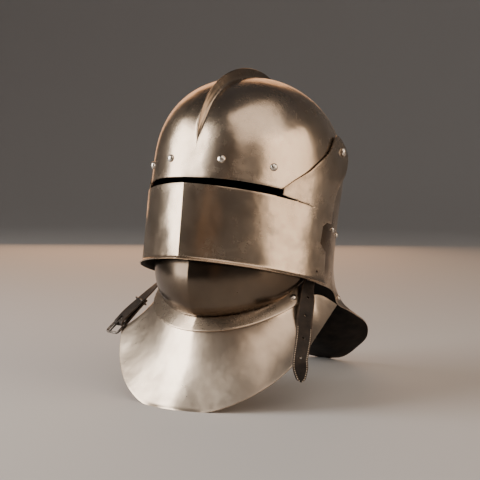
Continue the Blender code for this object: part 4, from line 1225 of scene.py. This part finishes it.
brow_seats, side_seats = [], []
for _, side in SIDES:
    for azimuth in BROW_RIVET_AZIMUTHS:
        brow_seats.append(on_skull(skull_point, azimuth, BROW_RIVET_HEIGHT, 0.001, side))
    for azimuth in SIDE_RIVET_AZIMUTHS:
        side_seats.append(on_skull(wall_point, azimuth, SIDE_RIVET_SHARE, 0.01, side))
rivet_set("brow_rivets", brow_seats, BROW_HEAD, PLATE + UPSET, paired("brow_rivet"))
rivet_set("side_rivets", side_seats, SMALL_HEAD, PLATE + UPSET, paired("side_rivet"))
tail_seats = [on_skull(wall_point, *TAIL_RIVET, 0.01, side) for _, side in SIDES]
rivet_set("tail_rivets", tail_seats, SMALL_HEAD, PLATE + UPSET, ["tail_rivet_left", "tail_rivet_right"])
pivot_point = Vector((PIVOT_SEAT_X, PIVOT_Y, PIVOT_HEIGHT))
pivot_seats = [placed(pivot_point, Vector((1.0, 0.0, 0.0)), side) for _, side in SIDES]
pivot_grip = PIVOT_SEAT_X - skull_point(FLAT_ARM_DEG, PIVOT_HEIGHT, 1).x + PLATE + PIVOT_SLACK
pivot_nodes = ["visor_pivot_left", "visor_pivot_right"]
rivet_set("visor_pivots", pivot_seats, PIVOT_HEAD, pivot_grip, pivot_nodes, GAP + PIVOT_HEAD_LIFT)
lame_seats = []
for _, side in SIDES:
    lame_seat = (side * LAME_RIVET_DEG, LAME_RIVET_RISE)
    lame_seats.append((middle + lame_point(*lame_seat), surface_normal(lame_point, *lame_seat, 1.0, 0.05)))
lame_nodes = ["lame_rivet_left", "lame_rivet_right"]
rivet_set("lame_rivets", lame_seats, LAME_HEAD, 2 * PLATE + LAP_GAP + UPSET, lame_nodes)

# ------------------------------------------------------------------ strap with the holes
# A flat strap of dark oiled leather hangs from the wearer's left of the bowl over the bib's wing.
# It has four punched holes, a pointed end and a row of thread along each edge of its lower half.

LEATHER = 0.0024
STRAP_HALF_WIDTH = 0.0085
STRAP_HOLE_RADIUS = 0.0016
PUNCH_REACH = 0.004
SLICKED = 0.36
TONGUE_ROUTE = (
    Step(92, 0.0962, 0.1500, 0.0085, 0, 92),
    Step(88, 0.0968, 0.1390, 0.0088, 2, 86),
    Step(82, 0.0990, 0.1275, 0.0092, 12, 70),
    Step(75.5, 0.1070, 0.1155, 0.0094, 24, 58),
    Step(68.5, 0.1170, 0.0980, 0.0094, 26, 50),
    Step(61.5, 0.1345, 0.0765, 0.0090, 28, 45),
    Step(57, 0.1465, 0.0590, 0.0086, 18, 42),
    Step(56.8, 0.1480, 0.0460, 0.0084, 4, 41),
    Step(57, 0.1484, 0.0375, 0.0060, 2, 41),
    Step(57, 0.1486, 0.0325, 0.0008, 2, 41),
)
TONGUE_HOLES = (0.313, 0.407, 0.521, 0.645)


def route_frame(route, share, side):
    """Place, outward and across directions, half width and run at a share of a strap's route."""

    def place(value):
        azimuth, radius, height, _, _, _ = on_curve(route, min(max(value, 0.0), 1.0))
        return mirrored(round_middle(radius, azimuth, height), side)

    _, _, _, half_width, lean, face = on_curve(route, share)
    forward = (place(share + 0.01) - place(share - 0.01)).normalized()
    outward = turned(mirrored(round_middle(1.0, face, 0.0), side), Vector((0.0, 0.0, 1.0)), math.radians(lean))
    across = forward.cross(outward).normalized()
    outward = across.cross(forward).normalized()
    return place(share), outward, across, float(half_width), forward


def leather_section(half_width):
    """Cross section of a strap: flat faces, edges rounded by the edge slicker."""
    half, corner = LEATHER / 2, LEATHER * SLICKED
    outline = []
    for start, side_x, side_y in ((0, 1, 1), (90, -1, 1), (180, -1, -1), (270, 1, -1)):
        for turn in (0, 30, 60, 90):
            angle = math.radians(start + turn)
            x = side_x * max(half_width - corner, 0.0) + corner * math.cos(angle)
            outline.append((x, side_y * (half - corner) + corner * math.sin(angle)))
        if start in (0, 180):
            for step in range(1, 8):
                share = 1 - 2 * step / 8
                outline.append((share * side_x * max(half_width - corner, 0.0), side_y * half))
    return outline


def draft_of(name, form):
    """A draft from loose faces, moved to the middle of the assembly."""
    bmesh.ops.recalc_face_normals(form, faces=form.faces)
    draft = put(name + "_draft", mesh_of(name, form))
    draft.location = middle
    bpy.context.view_layer.update()
    return draft


def leather_band(name, stations):
    """Strap through stations of (place, outward, across, half width), with its run stored on it."""
    form = bmesh.new()
    run_layer = form.verts.layers.float_vector.new("run")
    loops, length = [], 0.0
    for index, (place, outward, across, half_width) in enumerate(stations):
        if index:
            length += (place - stations[index - 1][0]).length
        loop = []
        for x, y in leather_section(half_width):
            vert = form.verts.new(place + across * x + outward * y)
            vert[run_layer] = Vector((x, length, y))
            loop.append(vert)
        loops.append(loop)
    join_rings(form, loops)
    form.faces.new(list(reversed(loops[0])))
    form.faces.new(loops[-1])
    return draft_of(name, form)


LEATHER_DARK = ((0.34, (0.010, 0.0075, 0.0065)), (0.70, (0.036, 0.025, 0.019)))
LEATHER_WORN = (0.085, 0.058, 0.042)
PORE_SCALE = 1050.0
PORE_DEPTH = 0.00007
CREASE_DEPTH = 0.00035


def oiled_leather(name, seed):
    """Dark strap leather: fine grain, creases across it, lighter rubbed edges."""
    material, tree, shader = new_material(name)
    place, run = on_piece(tree), stored(tree, "run", "Vector")
    across = add_node(tree, "ShaderNodeSeparateXYZ", {"Vector": run}).outputs["X"]
    side_share = maths(tree, "DIVIDE", maths(tree, "ABSOLUTE", across, 0.0), STRAP_HALF_WIDTH)
    rubbed = ramp(tree, side_share, ((0.84, 0.0), (0.985, 1.0)))
    patchy = ramp(tree, noise(tree, place, 260.0, 3.0), ((0.35, 0.2), (0.65, 1.0)))
    mottle = noise(tree, place, 95.0 + seed, 5.0, 0.6)
    values = {"Vector": place, "Scale": PORE_SCALE}
    grain = add_node(tree, "ShaderNodeTexVoronoi", values, feature="DISTANCE_TO_EDGE").outputs["Distance"]
    pores = bump(tree, ramp(tree, grain, ((0.0, 0.0), (0.18, 1.0))), PORE_DEPTH, None, 0.8)
    crease = noise(tree, run, 150.0, 3.0, 0.5, stretch=(0.16, 1.0, 1.0))
    dark = ramp(tree, mottle, LEATHER_DARK)
    finish = {
        "Specular IOR Level": 0.30,
        "Base Color": blend_colour(tree, times(tree, rubbed, patchy), dark, LEATHER_WORN),
        "Roughness": plus(tree, times(tree, mottle, 0.30), 0.34),
        "Normal": bump(tree, crease, CREASE_DEPTH, pores, 0.8),
    }
    feed(tree, shader, finish)
    return material


tongue_stations = [route_frame(TONGUE_ROUTE, step / 120, 1)[:4] for step in range(121)]
tongue_draft = leather_band("tongue", tongue_stations)
tongue_tools = []
for number, share in enumerate(TONGUE_HOLES):
    place, outward = route_frame(TONGUE_ROUTE, share, 1)[:2]
    tongue_tools.append(drill(f"tongue_hole_{number}", middle + place, outward, STRAP_HOLE_RADIUS, PUNCH_REACH))
cut_away(tongue_draft, tongue_tools)
tongue = finished(tongue_draft, "tongue_strap", 50.0)
hand_over(tongue, oiled_leather("tongue leather", 0.0), "helmet", "strap_leather", "strap_tongue")

# ------------------------------------------------------------------ thread on the strap
# Waxed linen thread runs in small even stitches just inside each edge and meets at the point.

STITCH_PITCH = 0.0025
STITCH_INSET = 0.0017
THREAD_RADIUS = 0.00056
THREAD_TINTS = ((0.35, (0.30, 0.24, 0.18)), (0.65, (0.58, 0.48, 0.38)))
STITCH_SIZES = ("Thread Radius", "Stitch Length")
STITCHED_FROM, STITCHED_TO = 0.47, 0.965

waxed, waxed_nodes, waxed_shader = new_material("waxed thread")
waxed_tint = ramp(waxed_nodes, noise(waxed_nodes, on_piece(waxed_nodes), 900.0), THREAD_TINTS)
feed(waxed_nodes, waxed_shader, {"Base Color": waxed_tint, "Roughness": 0.6})


def stitch_shape(tree, radius, length):
    """One stitch: a long bead of thread."""
    return pressed_ball(tree, radius, times(tree, length, 0.5), 1.0, 8, 6)


stitch_tree = points_tree("stitches", stitch_shape, STITCH_SIZES, waxed)
stitch_points, stitch_runs = [], []
for side in (-1, 1):
    line = []
    for step in range(401):
        share = mix(STITCHED_FROM, STITCHED_TO, step / 400)
        place, outward, across, half_width, _ = route_frame(TONGUE_ROUTE, share, 1)
        line.append(middle + place + across * (side * (half_width - STITCH_INSET)) + outward * (LEATHER / 2))
    walked, due = 0.0, 0.0
    for start, end in zip(line, line[1:]):
        walked += (end - start).length
        if walked >= due:
            stitch_points.append(end)
            stitch_runs.append((end - start).normalized())
            due += STITCH_PITCH
stitch_sizes = dict(zip(STITCH_SIZES, (THREAD_RADIUS, STITCH_PITCH * 0.70)))
stitches = spread_on_points("tongue_stitches", stitch_points, stitch_runs, stitch_tree, stitch_sizes)
hand_over(stitches, None, "helmet", "strap_leather")

# ------------------------------------------------------------------ strap with the buckle
# The short strap of the wearer's right is folded round the buckle's bar, with a slot for the
# prong, and its end is turned back under it and held by the keeper.

BAR_RADIUS = 0.0015
BUCKLE_ROUTE = (
    Step(92, 0.0962, 0.1500, 0.0085, 0, 92),
    Step(88, 0.0968, 0.1390, 0.0085, 2, 84),
    Step(84, 0.0998, 0.1285, 0.0085, 14, 66),
    Step(79.5, 0.1103, 0.1145, 0.0085, 22, 44),
    Step(74.7, 0.1242, 0.0993, 0.0085, 26, 30),
    Step(69, 0.1394, 0.0829, 0.0085, 26, 20),
    Step(66.4, 0.1454, 0.0756, 0.0085, 24, 20),
)
PRONG_SLOT_HALF_WIDTH = 0.0024
PRONG_SLOT_REACH = (-0.0070, 0.0060)
SLOT_TOOL_REACH = 0.008
FOLD_BACK_SHARE = 0.30
strap_end, outward, across, _, forward = route_frame(BUCKLE_ROUTE, 1.0, -1)
fold_reach = BAR_RADIUS + GAP + LEATHER / 2
bar = strap_end - outward * fold_reach
buckle_stations = [route_frame(BUCKLE_ROUTE, step / 80, -1)[:4] for step in range(81)]
for degrees in range(12, 181, 12):
    round_bar = turned(outward, forward, math.radians(degrees))
    buckle_stations.append((bar + round_bar * fold_reach, round_bar, across, STRAP_HALF_WIDTH))
for step in range(1, 17):
    back = step / 16
    sink = mix(2 * fold_reach, LEATHER + GAP * 2, smooth(back))
    place, lie, over = route_frame(BUCKLE_ROUTE, 1 - FOLD_BACK_SHARE * back, -1)[:3]
    buckle_stations.append((place - lie * sink, -lie, over, STRAP_HALF_WIDTH))
buckle_strap_draft = leather_band("buckle_strap", buckle_stations)
slot_ends = []
for reach in PRONG_SLOT_REACH:
    end = []
    for side, lift in ((-1, -1), (-1, 1), (1, 1), (1, -1)):
        corner = forward * reach + across * (side * PRONG_SLOT_HALF_WIDTH) + outward * (lift * SLOT_TOOL_REACH)
        end.append(middle + bar + corner)
    slot_ends.append(end)
cut_away(buckle_strap_draft, [cutter("prong_slot", *slot_ends)])
buckle_strap = finished(buckle_strap_draft, "buckle_strap", 50.0)
hand_over(buckle_strap, oiled_leather("buckle strap leather", 7.0), "helmet", "strap_leather", "strap_buckle")

# ------------------------------------------------------------------ buckle
# Forged iron wire: a rounded frame, a tapered prong hooked on its bar, and a keeper loop. The black scale is
# rubbed off in patches.

BUCKLE_HALF_WIDTH = 0.0114
BUCKLE_LENGTH = 0.0165
BUCKLE_CORNER = 0.0035
PRONG_RADIUS = 0.0012
PRONG_PAST_FRAME = 0.0025
PRONG_TAPER = 0.32
KEEPER_SHARE = 0.74
KEEPER_RADIUS = 0.0010
KEEPER_CORNER = 0.0022
KEEPER_HALF_HEIGHT = 0.0040
KEEPER_SINK = 0.0015


def rod(name, points, radii, closed, sides=16):
    """Round bar along a line of points, with a radius at each."""
    form = bmesh.new()
    count = len(points)
    rings, first = [], None
    for index, point in enumerate(points):
        if closed:
            run = points[(index + 1) % count] - points[index - 1]
        else:
            run = points[min(index + 1, count - 1)] - points[max(index - 1, 0)]
        run.normalize()
        first = (first - run * first.dot(run) if first else run.orthogonal()).normalized()
        second = run.cross(first)
        turns = [2 * math.pi * side / sides for side in range(sides)]
        rings.append([form.verts.new(point + turned(first, second, turn) * radii[index]) for turn in turns])
    if closed:
        last, start = rings[-1], rings[0]
        shift = min(range(sides), key=lambda k: (last[0].co - start[k].co).length)
        rings.append(start[shift:] + start[:shift])
    else:
        form.faces.new(rings[0])
        form.faces.new(rings[-1])
    join_rings(form, rings)
    piece = finished(draft_of(name, form), name, 60.0)
    hand_over(piece, black_iron, "helmet", "buckle_iron", name.replace("iron_", "buckle_"))


def rounded_loop(place, side_axis, long_axis, half_width, near, far, corner, steps=8):
    """Closed outline of a rounded rectangle between two distances along its long axis."""
    points = []
    middles = (
        (half_width - corner, far - corner, 0),
        (-half_width + corner, far - corner, 90),
        (-half_width + corner, near + corner, 180),
        (half_width - corner, near + corner, 270),
    )
    for sideways, ahead, start in middles:
        for step in range(steps + 1):
            angle = math.radians(start + 90 * step / steps)
            reach_side = sideways + corner * math.cos(angle)
            reach_long = ahead + corner * math.sin(angle)
            points.append(place + side_axis * reach_side + long_axis * reach_long)
    return points


black_iron, iron_nodes, iron_shader = new_material("black iron")
iron_place = on_piece(iron_nodes)
scale_off = noise(iron_nodes, iron_place, 210.0, 5.0, 0.6)
iron_finish = {
    "Metallic": 1.0,
    "Base Color": ramp(iron_nodes, scale_off, ((0.46, (0.05, 0.046, 0.043)), (0.62, (0.40, 0.37, 0.34)))),
    "Roughness": plus(iron_nodes, times(iron_nodes, scale_off, -0.35), 0.52),
    "Normal": bump(iron_nodes, noise(iron_nodes, iron_place, 380.0, 4.0), 0.0002, None, 0.9),
}
feed(iron_nodes, iron_shader, iron_finish)

frame_loop = rounded_loop(bar, across, forward, BUCKLE_HALF_WIDTH, 0.0, BUCKLE_LENGTH, BUCKLE_CORNER)
rod("iron_frame", frame_loop, [BAR_RADIUS] * len(frame_loop), True)
hook = BAR_RADIUS + PRONG_RADIUS + GAP
prong_line = []
for degrees in range(-210, 1, 10):
    prong_line.append(bar + turned(outward, forward, math.radians(degrees)) * hook)
hooked = len(prong_line)
for step in range(1, 13):
    prong_line.append(bar + outward * hook + forward * ((BUCKLE_LENGTH + PRONG_PAST_FRAME) * step / 12))
thinning = [PRONG_TAPER * smooth((index - hooked) / 12) for index in range(len(prong_line))]
prong_radii = [PRONG_RADIUS * (1 - share) for share in thinning]
rod("iron_prong", prong_line, prong_radii, False)
place, lie, over = route_frame(BUCKLE_ROUTE, KEEPER_SHARE, -1)[:3]
keeper_middle = place - lie * KEEPER_SINK
keeper_width = STRAP_HALF_WIDTH + KEEPER_CORNER
keeper_ends = (-KEEPER_HALF_HEIGHT, KEEPER_HALF_HEIGHT)
keeper_loop = rounded_loop(keeper_middle, over, lie, keeper_width, *keeper_ends, KEEPER_CORNER)
rod("iron_keeper", keeper_loop, [KEEPER_RADIUS] * len(keeper_loop), True)
